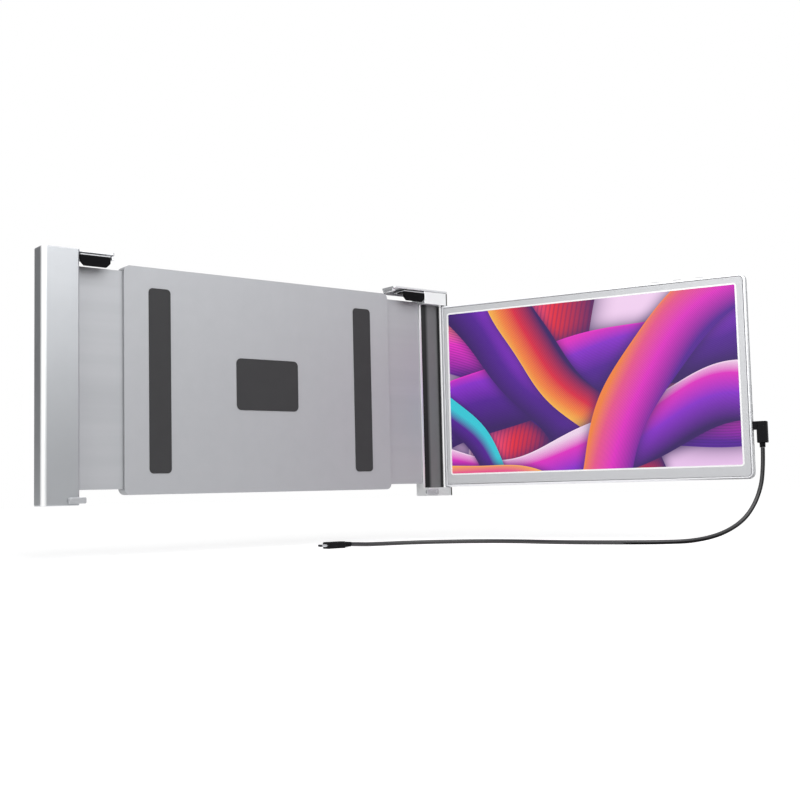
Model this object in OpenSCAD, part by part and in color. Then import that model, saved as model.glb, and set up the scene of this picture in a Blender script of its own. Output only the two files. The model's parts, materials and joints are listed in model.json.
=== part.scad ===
// Laptop screen extender: a chassis that hangs behind a laptop's lid, two arms that close on
// the lid's edges, and a side panel hinged in the right arm's bracket.
// The origin is the middle of the chassis's front rest face, which the lid's back lies on.
// +X runs to the right along the lid, +Y to the back and +Z up, in millimetres.

/* [Lid] */
// Width of the lid that the arms are closed on
lid_w = 390; // [340:1:394]
// Thickness of the lid
lid_t = 6; // [4:0.5:7]

/* [End blocks] */
// Width of the left block
left_block_w = 33.5; // [30:0.5:45]
// Width of the right bracket
right_bracket_w = 32.5; // [31:0.5:45]
// Depth of both, front to back
block_depth = 22; // [21:0.5:28]
// How far their front stands proud of the lid
block_proud = 1.5; // [1.4:0.1:2]
// Wall of the left block's extrusion
shell_wall = 1.6; // [1:0.1:2]
// Rounding of the left block's outer vertical edges
block_round = 4; // [2:0.5:6]
// Rounding of the small vertical edges
small_round = 0.8; // [0.4:0.1:1.2]
// Thickness of the left block's end caps
cap_t = 1.6; // [1:0.1:2.2]

/* [Right bracket] */
// Height of the top block
top_block_h = 13.2; // [11:0.1:15]
// Height of the bottom block
bottom_block_h = 8.7; // [8.4:0.1:12]
// Floor of the top block under its pocket
top_block_floor = 3; // [2:0.1:5]
// Thickness of the back plate
back_plate_t = 1.5; // [1:0.1:2]
// Room between the open panel's back and the spine
spine_gap = 2.1; // [1.8:0.1:2.6]
// Chamfer of the spine's outer front corner
spine_chamfer = 4; // [3.6:0.1:6]
// Width of the rounded column cover
column_w = 26; // [20:0.5:26]
// Room between the folded screen and the column
fold_gap = 0.5; // [0.4:0.1:1]

/* [Top clamps] */
// Thickness of the clamp covers
cover_t = 2.6; // [2:0.1:4]
// Reach of the left cover over the lid
left_cover_reach = 33; // [31:0.5:36]
// Reach of the right cover over the lid
right_cover_reach = 41.7; // [36:0.1:50]
// Thickness of the left cover's cheek
left_cheek_t = 2; // [1:0.1:2.6]
// Thickness of the right cover's cheek
right_cheek_t = 3.7; // [1:0.1:5]
// Thickness of the covers' rear wall
cover_wall = 2; // [1:0.1:3]
// Gap between a cover and its hook strip
hook_gap = 1.4; // [1:0.1:2.4]
// Thickness of the hook strips
hook_t = 1; // [0.6:0.1:1.4]
// Length of a hook strip and its pad along the lid
hook_len = 27.8; // [20:0.1:28]
// Thickness of the rubber over the lid's edge
hook_pad_t = 1.6; // [1:0.1:2.4]
// Thickness of the rubber lip in front of the lid
hook_lip_t = 2.8; // [2:0.1:4]
// How far the lip reaches down over the lid's front
hook_lip_drop = 7.6; // [4:0.1:7.7]
// Chamfer of the lip's lower corners
hook_lip_chamfer = 3.5; // [1:0.1:5]

/* [Bottom latches] */
// Length of a latch bar
latch_len = 16; // [15:0.5:20]
// Height of a latch bar
latch_h = 5.4; // [4.4:0.1:6]
// Thickness of a latch bar
latch_t = 2.55; // [1.6:0.05:3]
// How far a closed latch reaches over the lid
latch_reach = 5; // [4:0.1:6]
// Radius of the latch's pivot pin
latch_pin_r = 1; // [0.8:0.05:1.3]

/* [Chassis] */
// Width of the chassis
chassis_w = 300; // [290:1:304]
// Thickness of the front plate
front_plate_t = 1.6; // [1:0.1:2]
// Thickness of the pads that the lid rests on
rest_pad_t = 0.6; // [0.4:0.1:0.8]
// Wall of the rear cover
tray_wall = 1.5; // [1:0.1:2]
// Rounding of the chassis's corners
chassis_round = 6; // [4:0.5:10]
// Radius of the cover screws
cover_screw_r = 1; // [0.8:0.05:1.2]

/* [Arms] */
// Thickness of the arm plates
arm_t = 2; // [1.6:0.1:2.4]
// How far each arm slides in from where it is clamped
arm_travel_in = 37; // [20:1:37]
// How far each arm slides out from where it is clamped
arm_travel_out = 5; // [2:1:12]
// Radius of the pins that stop the arms
stop_pin_r = 1.6; // [1.2:0.1:2]

/* [Kickstand] */
// Width of the kickstand
stand_w = 180; // [120:1:186]
// Thickness of the kickstand plate
stand_t = 2.5; // [2:0.1:3]
// Height of the kickstand's hinge above the middle
stand_hinge_z = 60; // [40:1:80]
// Radius of the kickstand's hinge pins
stand_pin_r = 1.25; // [1:0.05:1.5]

/* [Screen] */
// Width of the lit area
screen_w = 309.4; // [290:0.1:312]
// Height of the lit area
screen_h = 174; // [160:0.1:190]
// Bezel between the frame's lip and the lit area on the hinge side
bezel_hinge_side = 5.4; // [5:0.1:10]
// Bezel on the far side
bezel_far_side = 7.6; // [7.6:0.1:12]
// Bezel above the lit area
bezel_top = 7.6; // [7.4:0.1:12]
// Bezel below the lit area
bezel_bottom = 11.3; // [10:0.1:16]
// Width of the white line round the lit area
border_w = 1.2; // [0.8:0.1:2]

/* [Panel] */
// Thickness of the whole panel
panel_t = 8; // [7.8:0.1:9]
// Thickness of the rear cover's own depth
rear_cover_t = 2.8; // [2.6:0.1:3.2]
// Width of the frame's lip round the bezel
lip_w = 2.7; // [2.2:0.1:3.4]
// Width of the lip on the hinge side
hinge_lip_w = 5; // [4.4:0.1:6]
// Wall of the frame
frame_wall = 1; // [0.8:0.05:1]
// Rounding of the panel's far corners
panel_round = 6.5; // [4:0.5:9]
// Rounding of the panel's corners beside the hinge
panel_hinge_round = 1.5; // [1:0.1:1.6]
// Angle between the panel and the lid's plane, turned toward the user
rest_angle = 67; // [55:1:80]

/* [Panel hinge] */
// Radius of the hinge pins
hinge_pin_r = 1.5; // [1.2:0.05:1.6]
// Wall of the hinge barrels round their bore
barrel_wall = 0.86; // [0.6:0.02:0.9]
// Height of each hinge barrel
barrel_h = 16; // [10:0.5:24]
// Distance of the hinge axis from the bracket's outer side
hinge_from_side = 3.5; // [3.3:0.1:4]
// Distance of the hinge axis from the bracket's front
hinge_from_front = 3; // [2.9:0.1:3.2]
// Distance of the hinge axis behind the screen's face
hinge_to_face = 3.4; // [3.3:0.1:3.6]

/* [Buttons] */
// Length of a button
button_len = 8; // [6:0.5:12]
// Width of a button
button_w = 2.4; // [1.8:0.1:3]
// How far a button stands out
button_proud = 0.5; // [0.3:0.1:1]
// How far a button presses in
button_travel = 0.6; // [0.3:0.1:0.7]
// Distance between buttons
button_pitch = 22; // [16:1:26]

/* [Cord] */
// Diameter of the cord
cord_d = 4; // [3:0.1:4.4]
// Thickness of the moulded plugs
plug_t = 7; // [6:0.1:7.4]
// Length of the right-angle plug's arm, out of the panel
plug_arm = 14.2; // [13:0.1:16]
// Length of its body, down the panel's edge
plug_body = 20.6; // [16:0.1:24]

/* [Hidden] */
$fn = 48;

// Clearances that several pieces share
run_gap = 0.04;        // round pin in a bore that turns on it
screw_gap = 0.05;      // screw in its hole
slide_gap = 0.15;      // arm plate between its guides
edge_gap = 0.3;        // arm plate to the grooves at its top and bottom
seam_gap = 0.15;       // hairline round an inset sheet
lid_gap = 0.2;         // clamp rubber to the lid
side_gap = 0.3;        // kickstand to its recess
cut = 1;               // extra length of a cutting shape

// Panel, in its own directions: u from the hinge axis to the far edge, v from front to back
face_v = -hinge_to_face;
back_v = face_v + panel_t;
frame_back_v = back_v - rear_cover_t;
edge_u = [-hinge_from_side,
    hinge_lip_w + bezel_hinge_side + screen_w + bezel_far_side + lip_w - hinge_from_side];
panel_h = 2 * lip_w + bezel_bottom + screen_h + bezel_top;
panel_gap = 0.6;       // panel to the bracket's two blocks

// Blocks and lid
block_h = bottom_block_h + panel_h + 2 * panel_gap + top_block_h + cover_t;
top_z = block_h / 2;
front_y = -(lid_t + block_proud);
back_y = front_y + block_depth;
lid_x = lid_w / 2;
left_out_x = -(lid_x + left_block_w);
right_out_x = lid_x + right_bracket_w;
cover_z = top_z - cover_t;
hook_z = [cover_z - hook_gap - hook_t, cover_z - hook_gap];
lid_top_z = hook_z[0] - hook_pad_t - lid_gap;

// Hinge axis of the panel, and the bracket round it
hinge_x = right_out_x - hinge_from_side;
hinge_y = front_y + hinge_from_front;
upper_z = [cover_z - top_block_h, cover_z];
lower_z = [-top_z, -top_z + bottom_block_h];
panel_z = [lower_z[1] + panel_gap, upper_z[0] - panel_gap];
bracket_x = [lid_x, right_out_x];
bracket_back_y = back_y - back_plate_t;
spine_front_y = hinge_y + back_v + spine_gap;
column_front_y = hinge_y + hinge_to_face + fold_gap;
column_in = 2;         // column to the lid's edge

// Chassis
chassis_h = 2 * (lid_top_z - 1.2);
chassis_x = chassis_w / 2;
chassis_z = chassis_h / 2;
plate_back_y = rest_pad_t + front_plate_t;
inner_x = chassis_x - tray_wall;
inner_z = chassis_z - tray_wall;
tray_floor_y = back_y - tray_wall;
rail_web = 3.5;        // solid part of a rail above its groove
rail_groove = 4;       // depth of the groove that guides the arm plates
rail_z = inner_z - rail_web;
rail_x = chassis_x - chassis_round;               // where the corners begin to round
arm_half_h = rail_z - edge_gap;

// Arm plates
arm_y0 = max(plate_back_y, spine_front_y) + 1.2;
arm_y = [arm_y0, arm_y0 + arm_t];
plate_end_x = arm_travel_in + 4;                  // its inner end, clear of the middle posts
tongue_half_h = arm_half_h - 6.7;
tongue_len = 19;                                  // plate inside the block or bracket
arm_screw_in = 11;     // end screws, from the tongue's ends
arm_screw_z = [for (i = [-1, -1 / 3, 1 / 3, 1]) i * (tongue_half_h - arm_screw_in)];
arm_screw_x = lid_x + 10;
arm_screw_r = 1.25;
stop_pin_x = inner_x - 43.5;
stop_pin_z = arm_half_h - 28.7;
plate_guard_y = [arm_y[0] - slide_gap, arm_y[1] + slide_gap];

// Kickstand and its recess in the rear cover
stand_x = stand_w / 2;
stand_axis_y = back_y - stand_t - 0.4;
stand_barrel_r = 2.4;
stand_bottom_z = -chassis_z + 5.5;
recess_x = stand_x + side_gap;
recess_floor_y = back_y - stand_t - 0.2;
recess_top_z = stand_hinge_z + stand_t + 1.5;
pocket_floor_y = stand_axis_y - stand_barrel_r - 1;
pocket_low_z = stand_hinge_z - 4.5;
recess_front_y = recess_floor_y - tray_wall;
pocket_front_y = pocket_floor_y - 1.2;
stand_pin_len = 10.5;
stand_head_r = stand_pin_r + 0.8;
stand_head_t = 1;
post_z = [-40, stand_hinge_z - 20];               // posts behind the front plate

// Inside of the panel
rim_u = [edge_u[0] + hinge_lip_w, edge_u[1] - lip_w];
rim_z = [panel_z[0] + lip_w, panel_z[1] - lip_w];
lit_u = [rim_u[0] + bezel_hinge_side, rim_u[1] - bezel_far_side];
lit_z = [rim_z[0] + bezel_bottom, rim_z[1] - bezel_top];
lip_t = 0.9;
bezel_v = [face_v + 0.1, face_v + 0.9];
cell_v = [bezel_v[1], bezel_v[1] + 1];
cell_u = grow(lit_u, 3);
cell_z = grow(lit_z, 3);
tray_u = grow(cell_u, 0.6);
tray_z = grow(cell_z, 0.6);
tray_v = [cell_v[1], cell_v[1] + 2.4];
guide_v = [cell_v[1], tray_v[1] - 0.6];
led_h = 2.8;
wall_u = [edge_u[0] + frame_wall, edge_u[1] - frame_wall];
wall_z = [panel_z[0] + frame_wall, panel_z[1] - frame_wall];
cover_skin = 1;        // back wall of the panel's rear cover
cover_side = 1.6;      // its side walls
board_v = [back_v - cover_skin - 1.2, back_v - cover_skin - 0.2];
part_v = [tray_v[1] + 0.3, board_v[0]];
panel_screw_r = 1;
boss_r = 2.3;
boss_low_z = wall_z[0] + 4.4;
boss_high_z = wall_z[1] - 2.8;
boss_far_u = wall_u[1] - 3;
boss_inset = 33.5;     // first and last screw along the bottom, from the panel's edges
panel_screw_at = [
    [edge_u[0] + boss_inset, boss_low_z], [middle(edge_u), boss_low_z],
    [edge_u[1] - boss_inset, boss_low_z],
    [edge_u[0] + 2 * boss_inset, boss_high_z], [middle(edge_u), boss_high_z],
    [boss_far_u, boss_high_z - boss_inset], [boss_far_u, boss_low_z + 12]
];

// Hinge
barrel_r = hinge_pin_r + run_gap + barrel_wall;
barrel_top = panel_z[1] - cover_side - 0.1;
barrel_low = panel_z[0] + cover_side + 0.1;
pin_head_r = 2.1;
pin_head_t = 1.2;
washer_t = 0.4;
leaf_v = [1.2, 2.4];
leaf_len = 24;

// Buttons, in the panel's top edge
button_mid_u = edge_u[1] - 66.6;
button_v = 0;
button_rim = 0.6;      // flange that keeps a button in
button_gap = 0.1;      // button to its hole
flange_z = [wall_z[1] - 0.9, wall_z[1] - 0.1];
switch_top_z = flange_z[0] - button_travel - 0.2;
switch_board_z = [switch_top_z - 3, switch_top_z - 2.2];

// Sockets in the panel's far edge, and the plug in the first of them
socket_low = 50.8;     // height of the first socket above the panel's bottom edge
socket_z = [panel_z[0] + socket_low, panel_z[0] + socket_low + 16, panel_z[0] + socket_low + 34];
socket_long = [9, 9, 11.2];
socket_wide = 3.2;
socket_skin = 0.3;
socket_floor = 0.4;
socket_u = [tray_u[1] + 0.3, edge_u[1] - 0.4];
socket_v = board_v[0] - socket_wide / 2;
tip_long = 8.25;
tip_wide = 2.45;
tip_skin = 0.3;
plug_u = [edge_u[1] + 0.1, edge_u[1] + plug_arm];
plug_arm_z = [socket_z[0] - 4, socket_z[0] + 4];
plug_body_u = [edge_u[1] + 3.6, plug_u[1] - 1];
plug_body_z = [plug_arm_z[1] - plug_body, plug_arm_z[1]];
relief_len = 4.4;
relief_u = (plug_body_u[0] + plug_body_u[1]) / 2 - 0.45;
cord_r = cord_d / 2;

// Route of the cord: down from the plug, over to the surface below and along it
cord_route = [
    [355.5, -312.2, -73], [355.3, -312, -82], [354.6, -311.6, -93], [353, -310.8, -105],
    [349.6, -309.4, -116], [344, -307.6, -126.5], [336, -305.4, -136], [326.6, -303.2, -143],
    [316, -301, -148.2], [304.6, -299, -152], [292.6, -297, -154.7], [280.4, -294.4, -156.5],
    [268.4, -290.8, -157.6], [257, -285.6, -158], [246.6, -278.6, -158], [237.6, -269.6, -158],
    [226.4, -250, -158], [216.2, -227, -158], [207, -200, -158], [202, -171, -158],
    [199, -141, -158], [191, -112, -158], [176, -86, -158], [155, -65, -158],
    [132, -50, -158], [110, -43, -158], [90, -39.4, -157.8], [76, -38.4, -157.2],
    [68, -38.2, -156.75]
];
far_plug_at = [68, -38.2, -156.75];
far_plug_turn = 178;   // direction that the straight plug points in, from +X
far_plug_len = 20;
far_plug_wide = 11;
cord_sides = 8;
ring_step = 9;         // distance between rings of the cord's tube

// A span made wider by g at both ends
function grow(span, g) = [span[0] - g, span[1] + g];
function length(span) = span[1] - span[0];
function middle(span) = (span[0] + span[1]) / 2;

// Block between three spans
module box(x, y, z) {
    translate([x[0], y[0], z[0]]) cube([length(x), length(y), length(z)]);
}

// Extrusions of a flat outline along one axis, over a span
module along_z(span) {
    translate([0, 0, span[0]]) linear_extrude(length(span)) children();
}
module along_y(span) {
    translate([0, span[1], 0]) rotate([90, 0, 0]) linear_extrude(length(span)) children();
}
module along_x(span) {
    translate([span[0], 0, 0]) rotate([90, 0, 90]) linear_extrude(length(span)) children();
}

// Round bar along Y or X
module bar_y(x, z, y, r) {
    translate([x, y[0], z]) rotate([-90, 0, 0]) cylinder(h = length(y), r = r);
}
module bar_x(x, y, z, r) {
    translate([x[0], y, z]) rotate([0, 90, 0]) cylinder(h = length(x), r = r);
}

// Outline of a rectangle between two spans, with a radius for each corner, from the low one
module soft_rect(x, y, r) {
    polygon([
        [x[0] + r[0], y[0]], [x[1] - r[1], y[0]], [x[1], y[0] + r[1]], [x[1], y[1] - r[2]],
        [x[1] - r[2], y[1]], [x[0] + r[3], y[1]], [x[0], y[1] - r[3]], [x[0], y[0] + r[0]]
    ]);
    translate([x[0] + r[0], y[0] + r[0]]) circle(r[0]);
    translate([x[1] - r[1], y[0] + r[1]]) circle(r[1]);
    translate([x[1] - r[2], y[1] - r[2]]) circle(r[2]);
    translate([x[0] + r[3], y[1] - r[3]]) circle(r[3]);
}
module even_rect(x, y, r) {
    soft_rect(x, y, [r, r, r, r]);
}

// The side named by s: -1 left, 1 right
module on_side(s) {
    if (s < 0) mirror([1, 0, 0]) children();
    else children();
}

// Panel directions turned to where the panel stands
module on_panel() {
    translate([hinge_x, hinge_y, 0]) rotate([0, 0, -rest_angle]) children();
}

// ---- Chassis ----

// Outline of the chassis, drawn in by g
module chassis_outline(g) {
    r = max(chassis_round - g, 0.5);
    even_rect([-chassis_x + g, chassis_x - g], [-chassis_z + g, chassis_z - g], r);
}

// Where the cover screws stand: along the top and bottom rails
cover_screw_z = inner_z - rail_web / 2;
cover_screw_at = [
    for (x = [-1, 0, 1]) [x * (inner_x - 13.5), cover_screw_z],
    for (x = [-1, 1]) [x * (inner_x - 13.5), -cover_screw_z]
];
cover_boss_r = 3;
rail_y = [plate_back_y, arm_y[1] + 2.6];

module cover_screw(at, r) {
    bar_y(at[0], at[1], [rail_y[1] - 3, back_y], r);
    translate([at[0], back_y, at[1]]) rotate([90, 0, 0]) cylinder(h = r, r1 = 2 * r, r2 = r);
}

module chassis_rear_cover() {
    color("silver") difference() {
        union() {
            difference() {
                along_y([plate_back_y, back_y]) chassis_outline(0);
                along_y([plate_back_y - cut, tray_floor_y]) chassis_outline(tray_wall);
            }
            box([-recess_x - tray_wall, recess_x + tray_wall], [recess_front_y, back_y],
                [-chassis_z, recess_top_z + tray_wall]);
            box([-recess_x - tray_wall, recess_x + tray_wall], [pocket_front_y, back_y],
                [pocket_low_z - tray_wall, recess_top_z + tray_wall]);
            for (at = cover_screw_at)
                bar_y(at[0], at[1], [rail_y[1], back_y - tray_wall / 2], cover_boss_r);
        }
        // recess of the kickstand, with a deeper pocket for its hinge
        box([-recess_x, recess_x], [recess_floor_y, back_y + cut], [-chassis_z - cut, recess_top_z]);
        box([-recess_x, recess_x], [pocket_floor_y, back_y], [pocket_low_z, recess_top_z]);
        bar_x([-recess_x - tray_wall - cut, recess_x + tray_wall + cut], stand_axis_y, stand_hinge_z,
            stand_pin_r + screw_gap);
        for (s = [-1, 1]) on_side(s)
            bar_x([recess_x + tray_wall, recess_x + tray_wall + stand_head_t + edge_gap],
                stand_axis_y, stand_hinge_z, stand_head_r + screw_gap);
        // gates that the arm plates pass through
        box([-chassis_x - cut, chassis_x + cut], [plate_back_y - cut, plate_guard_y[1]],
            [-rail_z, rail_z]);
        for (at = cover_screw_at) cover_screw(at, cover_screw_r + screw_gap);
    }
}

module chassis_front_plate() {
    color("lightgray") {
        along_y([rest_pad_t, plate_back_y]) chassis_outline(0);
        // posts that carry the floor of the kickstand's recess
        for (z = post_z) bar_y(0, z, [plate_back_y, recess_front_y], 2.2);
    }
}

module lid_rest_pads() {
    color("dimgray") along_y([0, rest_pad_t]) {
        even_rect([-35, 35], [-25, 25], 5);
        for (s = [-1, 1]) translate([s * (chassis_x - 35), 0])
            even_rect([-11, 11], [-chassis_z + 19, chassis_z - 19], 4);
    }
}

module guide_rails() {
    color("dimgray") for (s = [0, 1]) mirror([0, 0, s]) difference() {
        box([-rail_x, rail_x], rail_y, [rail_z - rail_groove, inner_z]);
        box([-chassis_x, chassis_x], plate_guard_y, [rail_z - rail_groove - cut, rail_z]);
        for (at = cover_screw_at)
            bar_y(at[0], cover_screw_z, [rail_y[1] - 3.2, rail_y[1] + cut], cover_screw_r + screw_gap);
    }
}

shoe_w = 9.5;
shoe_len = 30;
shoe_high_z = chassis_z - 14;
module rail_shoes() {
    color("white") for (s = [-1, 1]) on_side(s) for (m = [0, 1]) mirror([0, 0, m])
        box([inner_x - shoe_w, inner_x], [plate_guard_y[1], tray_floor_y],
            [shoe_high_z - shoe_len, shoe_high_z]);
}

module cover_screws() {
    color("dimgray") for (at = cover_screw_at) cover_screw(at, cover_screw_r);
}

module travel_stop_pins() {
    color("silver") for (s = [-1, 1]) on_side(s) for (z = [-stop_pin_z, stop_pin_z]) {
        bar_y(stop_pin_x, z, [plate_back_y, arm_y[1] + 1], stop_pin_r);
        bar_y(stop_pin_x, z, [plate_back_y, plate_back_y + 0.6], stop_pin_r + 1.4);
    }
}

module stand_hinge_pins() {
    color("silver") for (s = [-1, 1]) on_side(s) {
        outer = recess_x + tray_wall;
        bar_x([outer - stand_pin_len, outer + stand_head_t], stand_axis_y, stand_hinge_z, stand_pin_r);
        bar_x([outer, outer + stand_head_t], stand_axis_y, stand_hinge_z, stand_head_r);
    }
}

module kickstand() {
    color("silver") difference() {
        union() {
            along_y([back_y - stand_t, back_y]) soft_rect([-stand_x, stand_x],
                [stand_bottom_z, stand_hinge_z], [3, 3, 0.4, 0.4]);
            bar_x([-stand_x, stand_x], stand_axis_y, stand_hinge_z, stand_barrel_r);
        }
        for (s = [-1, 1]) on_side(s)
            bar_x([recess_x + tray_wall - stand_pin_len - 0.4, stand_x + cut], stand_axis_y,
                stand_hinge_z, stand_pin_r + run_gap);
        // seat of the foot strip
        box([-stand_x + 12, stand_x - 12], [back_y - 1, back_y + cut],
            [stand_bottom_z + 2, stand_bottom_z + 8]);
    }
}

module kickstand_foot() {
    color("black") box([-stand_x + 12, stand_x - 12], [back_y - 1, back_y - 0.1],
        [stand_bottom_z + 2, stand_bottom_z + 8]);
}

// ---- Arms ----

// Plate of one arm, drawn on the right side: it runs in the rails and ends in a narrower tongue
module arm_plate() {
    slot_low = stop_pin_x - arm_travel_out - stop_pin_r - edge_gap;
    slot_high = stop_pin_x + arm_travel_in + stop_pin_r + edge_gap;
    along_y(arm_y) difference() {
        union() {
            even_rect([plate_end_x, lid_x - 0.4], [-arm_half_h, arm_half_h], 2);
            even_rect([lid_x - 10, lid_x + tongue_len], [-tongue_half_h, tongue_half_h], 2);
        }
        for (z = [-stop_pin_z, stop_pin_z]) even_rect([slot_low, slot_high],
            [z - stop_pin_r - slide_gap, z + stop_pin_r + slide_gap], stop_pin_r + slide_gap - 0.05);
        for (z = arm_screw_z) translate([arm_screw_x, z]) circle(arm_screw_r + screw_gap);
    }
}
module left_arm_plate() {
    color("lightgray") on_side(-1) arm_plate();
}
module right_arm_plate() {
    color("lightgray") arm_plate();
}

// Outline of the left block, drawn in by g
module block_outline(g) {
    big = max(block_round - g, 0.5);
    small = max(small_round - g, 0.3);
    soft_rect([left_out_x + g, -lid_x - g], [front_y + g, back_y - g], [big, small, small, big]);
}

module left_block_shell() {
    color("silver") difference() {
        along_z([-top_z + cap_t, top_z - cap_t]) block_outline(0);
        along_z([-top_z, top_z]) block_outline(shell_wall);
        box([-lid_x - shell_wall - cut, -lid_x + cut], plate_guard_y,
            [-tongue_half_h - edge_gap, tongue_half_h + edge_gap]);
        latch_pivot(-1, latch_pin_r + screw_gap);
    }
}

module left_block_caps() {
    color("silver") for (s = [0, 1]) mirror([0, 0, s]) {
        along_z([top_z - cap_t, top_z]) block_outline(0);
        along_z([top_z - cap_t - 1.2, top_z - cap_t]) block_outline(shell_wall + 0.1);
    }
}

module left_carrier() {
    inner_left_x = left_out_x + block_round + 0.5;
    color("dimgray") difference() {
        box([inner_left_x, -lid_x - shell_wall - 0.5], [arm_y[1], back_y - shell_wall],
            [-tongue_half_h + 2, tongue_half_h - 2]);
        for (z = arm_screw_z) bar_y(-arm_screw_x, z, [arm_y[1] - cut, arm_y[1] + 4.4],
            arm_screw_r + screw_gap);
    }
}

module left_carrier_screws() {
    color("dimgray") for (z = arm_screw_z) {
        bar_y(-arm_screw_x, z, [arm_y[0] - 1.2, arm_y[1] + 4], arm_screw_r);
        bar_y(-arm_screw_x, z, [arm_y[0] - 1.2, arm_y[0]], 2 * arm_screw_r);
    }
}

// ---- Top clamps ----

// Rear wall's height above the lid's top edge
rear_wall_low_z = lid_top_z + 0.1;

module left_clamp_cover() {
    inner = -lid_x + left_cover_reach;
    color("silver") {
        along_z([cover_z, top_z]) soft_rect([-lid_x, inner], [front_y, back_y], [0.3, 2, 2, 0.3]);
        box([inner - left_cheek_t, inner], [front_y + 2.6, back_y - 2.6], [rear_wall_low_z, cover_z]);
        box([-lid_x + 0.6, inner - 2.6], [back_y - cover_wall, back_y], [rear_wall_low_z, cover_z]);
    }
}

module right_clamp_cover() {
    inner = lid_x - right_cover_reach;
    color("silver") {
        along_z([cover_z, top_z]) soft_rect([inner, right_out_x], [front_y, back_y], [2, 1.5, 1.5, 2]);
        box([inner, inner + right_cheek_t], [front_y + 2.6, back_y - 2.6], [hook_z[0], cover_z]);
        box([inner + 2.6, lid_x], [back_y - cover_wall, back_y], [rear_wall_low_z, cover_z]);
    }
}

// Thin steel strip and the rubber under it, drawn on the right side from x
hook_front_y = front_y - 1.5;
module hook_strip(x) {
    flange_y = back_y - cover_wall - 1;
    box([x, x + hook_len], [hook_front_y + 0.3, flange_y + 1], hook_z);
    box([x, x + hook_len], [flange_y, flange_y + 1], [hook_z[1], cover_z]);
}
module hook_pad(x) {
    lip_back_y = hook_front_y + hook_lip_t;
    pad_z = [hook_z[0] - hook_pad_t, hook_z[0]];
    lip_low_z = lid_top_z - hook_lip_drop;
    intersection() {
        along_x([x, x + hook_len]) polygon([
            [hook_front_y, lip_low_z], [lip_back_y, lip_low_z], [lip_back_y, pad_z[0]],
            [-lid_t + 10, pad_z[0]], [-lid_t + 10, pad_z[1]],
            [hook_front_y + 0.7, pad_z[1]], [hook_front_y, pad_z[1] - 0.7]
        ]);
        along_y([hook_front_y - cut, back_y]) polygon([
            [x + hook_lip_chamfer, lip_low_z], [x + hook_len - hook_lip_chamfer, lip_low_z],
            [x + hook_len, lip_low_z + hook_lip_chamfer], [x + hook_len, cover_z],
            [x, cover_z], [x, lip_low_z + hook_lip_chamfer]
        ]);
    }
}
left_hook_x = -lid_x + 0.4;
right_hook_x = lid_x - 1 - hook_len;

module left_hook_strip() {
    color("lightgray") hook_strip(left_hook_x);
}
module left_hook_pad() {
    color([0.1, 0.1, 0.11]) hook_pad(left_hook_x);
}
module right_hook_strip() {
    color("lightgray") hook_strip(right_hook_x);
}
module right_hook_pad() {
    color([0.1, 0.1, 0.11]) hook_pad(right_hook_x);
}

// ---- Bottom latches, drawn on the right side ----

latch_z = -top_z + 4.2;
latch_x = lid_x - latch_reach + latch_len - latch_h / 2;
latch_y = [front_y - 0.15 - latch_t, front_y - 0.15];

// Pin that the latch of side s turns on, or the hole for it
module latch_pivot(s, r) {
    on_side(s) bar_y(latch_x, latch_z, [latch_y[1] - cut / 10, front_y + shell_wall], r);
}
module latch_pin(s) {
    on_side(s) {
        bar_y(latch_x, latch_z, [latch_y[0] - 0.6, front_y + shell_wall], latch_pin_r);
        bar_y(latch_x, latch_z, [latch_y[0] - 0.6, latch_y[0]], latch_pin_r + 0.9);
    }
}
module latch(s) {
    on_side(s) difference() {
        along_y(latch_y) even_rect([lid_x - latch_reach, lid_x - latch_reach + latch_len],
            [latch_z - latch_h / 2, latch_z + latch_h / 2], latch_h / 2 - 0.1);
        bar_y(latch_x, latch_z, grow(latch_y, cut), latch_pin_r + run_gap);
    }
}
module latch_pad(s) {
    on_side(s) box([lid_x - latch_reach + 0.8, lid_x - 1.5], [latch_y[1], -lid_t - lid_gap],
        [latch_z - 1.6, latch_z + 1.6]);
}

module left_latch_pin() {
    color("silver") latch_pin(-1);
}
module left_latch() {
    color("silver") latch(-1);
}
module left_latch_pad() {
    color([0.1, 0.1, 0.11]) latch_pad(-1);
}
module right_latch_pin() {
    color("silver") latch_pin(1);
}
module right_latch() {
    color("silver") latch(1);
}
module right_latch_pad() {
    color([0.1, 0.1, 0.11]) latch_pad(1);
}

// ---- Right bracket ----

block_screw_in = 7;    // screws of the two blocks, from the bracket's sides

// Screws through the back plate: four hold the arm's tongue, four the two blocks
right_screw_at = concat(
    [for (z = arm_screw_z) [arm_screw_x, z]],
    [for (x = grow(bracket_x, -block_screw_in)) [x, middle(lower_z)]],
    [for (x = grow(bracket_x, -block_screw_in)) [x, middle(upper_z)]]
);
right_screw_y = [arm_y[0] + 0.2, back_y];

module right_screw(at, r) {
    bar_y(at[0], at[1], right_screw_y, r);
    translate([at[0], back_y, at[1]]) rotate([90, 0, 0]) cylinder(h = r, r1 = 2 * r, r2 = r);
}
module right_screw_holes() {
    for (at = right_screw_at) right_screw(at, arm_screw_r + screw_gap);
}

module right_spine() {
    color("silver") difference() {
        along_z([lower_z[1], upper_z[0]]) polygon([
            [bracket_x[0], spine_front_y], [bracket_x[1] - spine_chamfer, spine_front_y],
            [bracket_x[1], spine_front_y + spine_chamfer], [bracket_x[1], bracket_back_y],
            [bracket_x[0], bracket_back_y]
        ]);
        box([bracket_x[0] - cut, bracket_x[0] + tongue_len + edge_gap], grow(arm_y, 0.1),
            [-tongue_half_h - edge_gap, tongue_half_h + edge_gap]);
        right_screw_holes();
    }
}

module right_back_plate() {
    color("silver") difference() {
        along_y([bracket_back_y, back_y]) soft_rect(bracket_x, [-top_z, cover_z], [1, 1, 0.4, 0.4]);
        right_screw_holes();
    }
}

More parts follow.
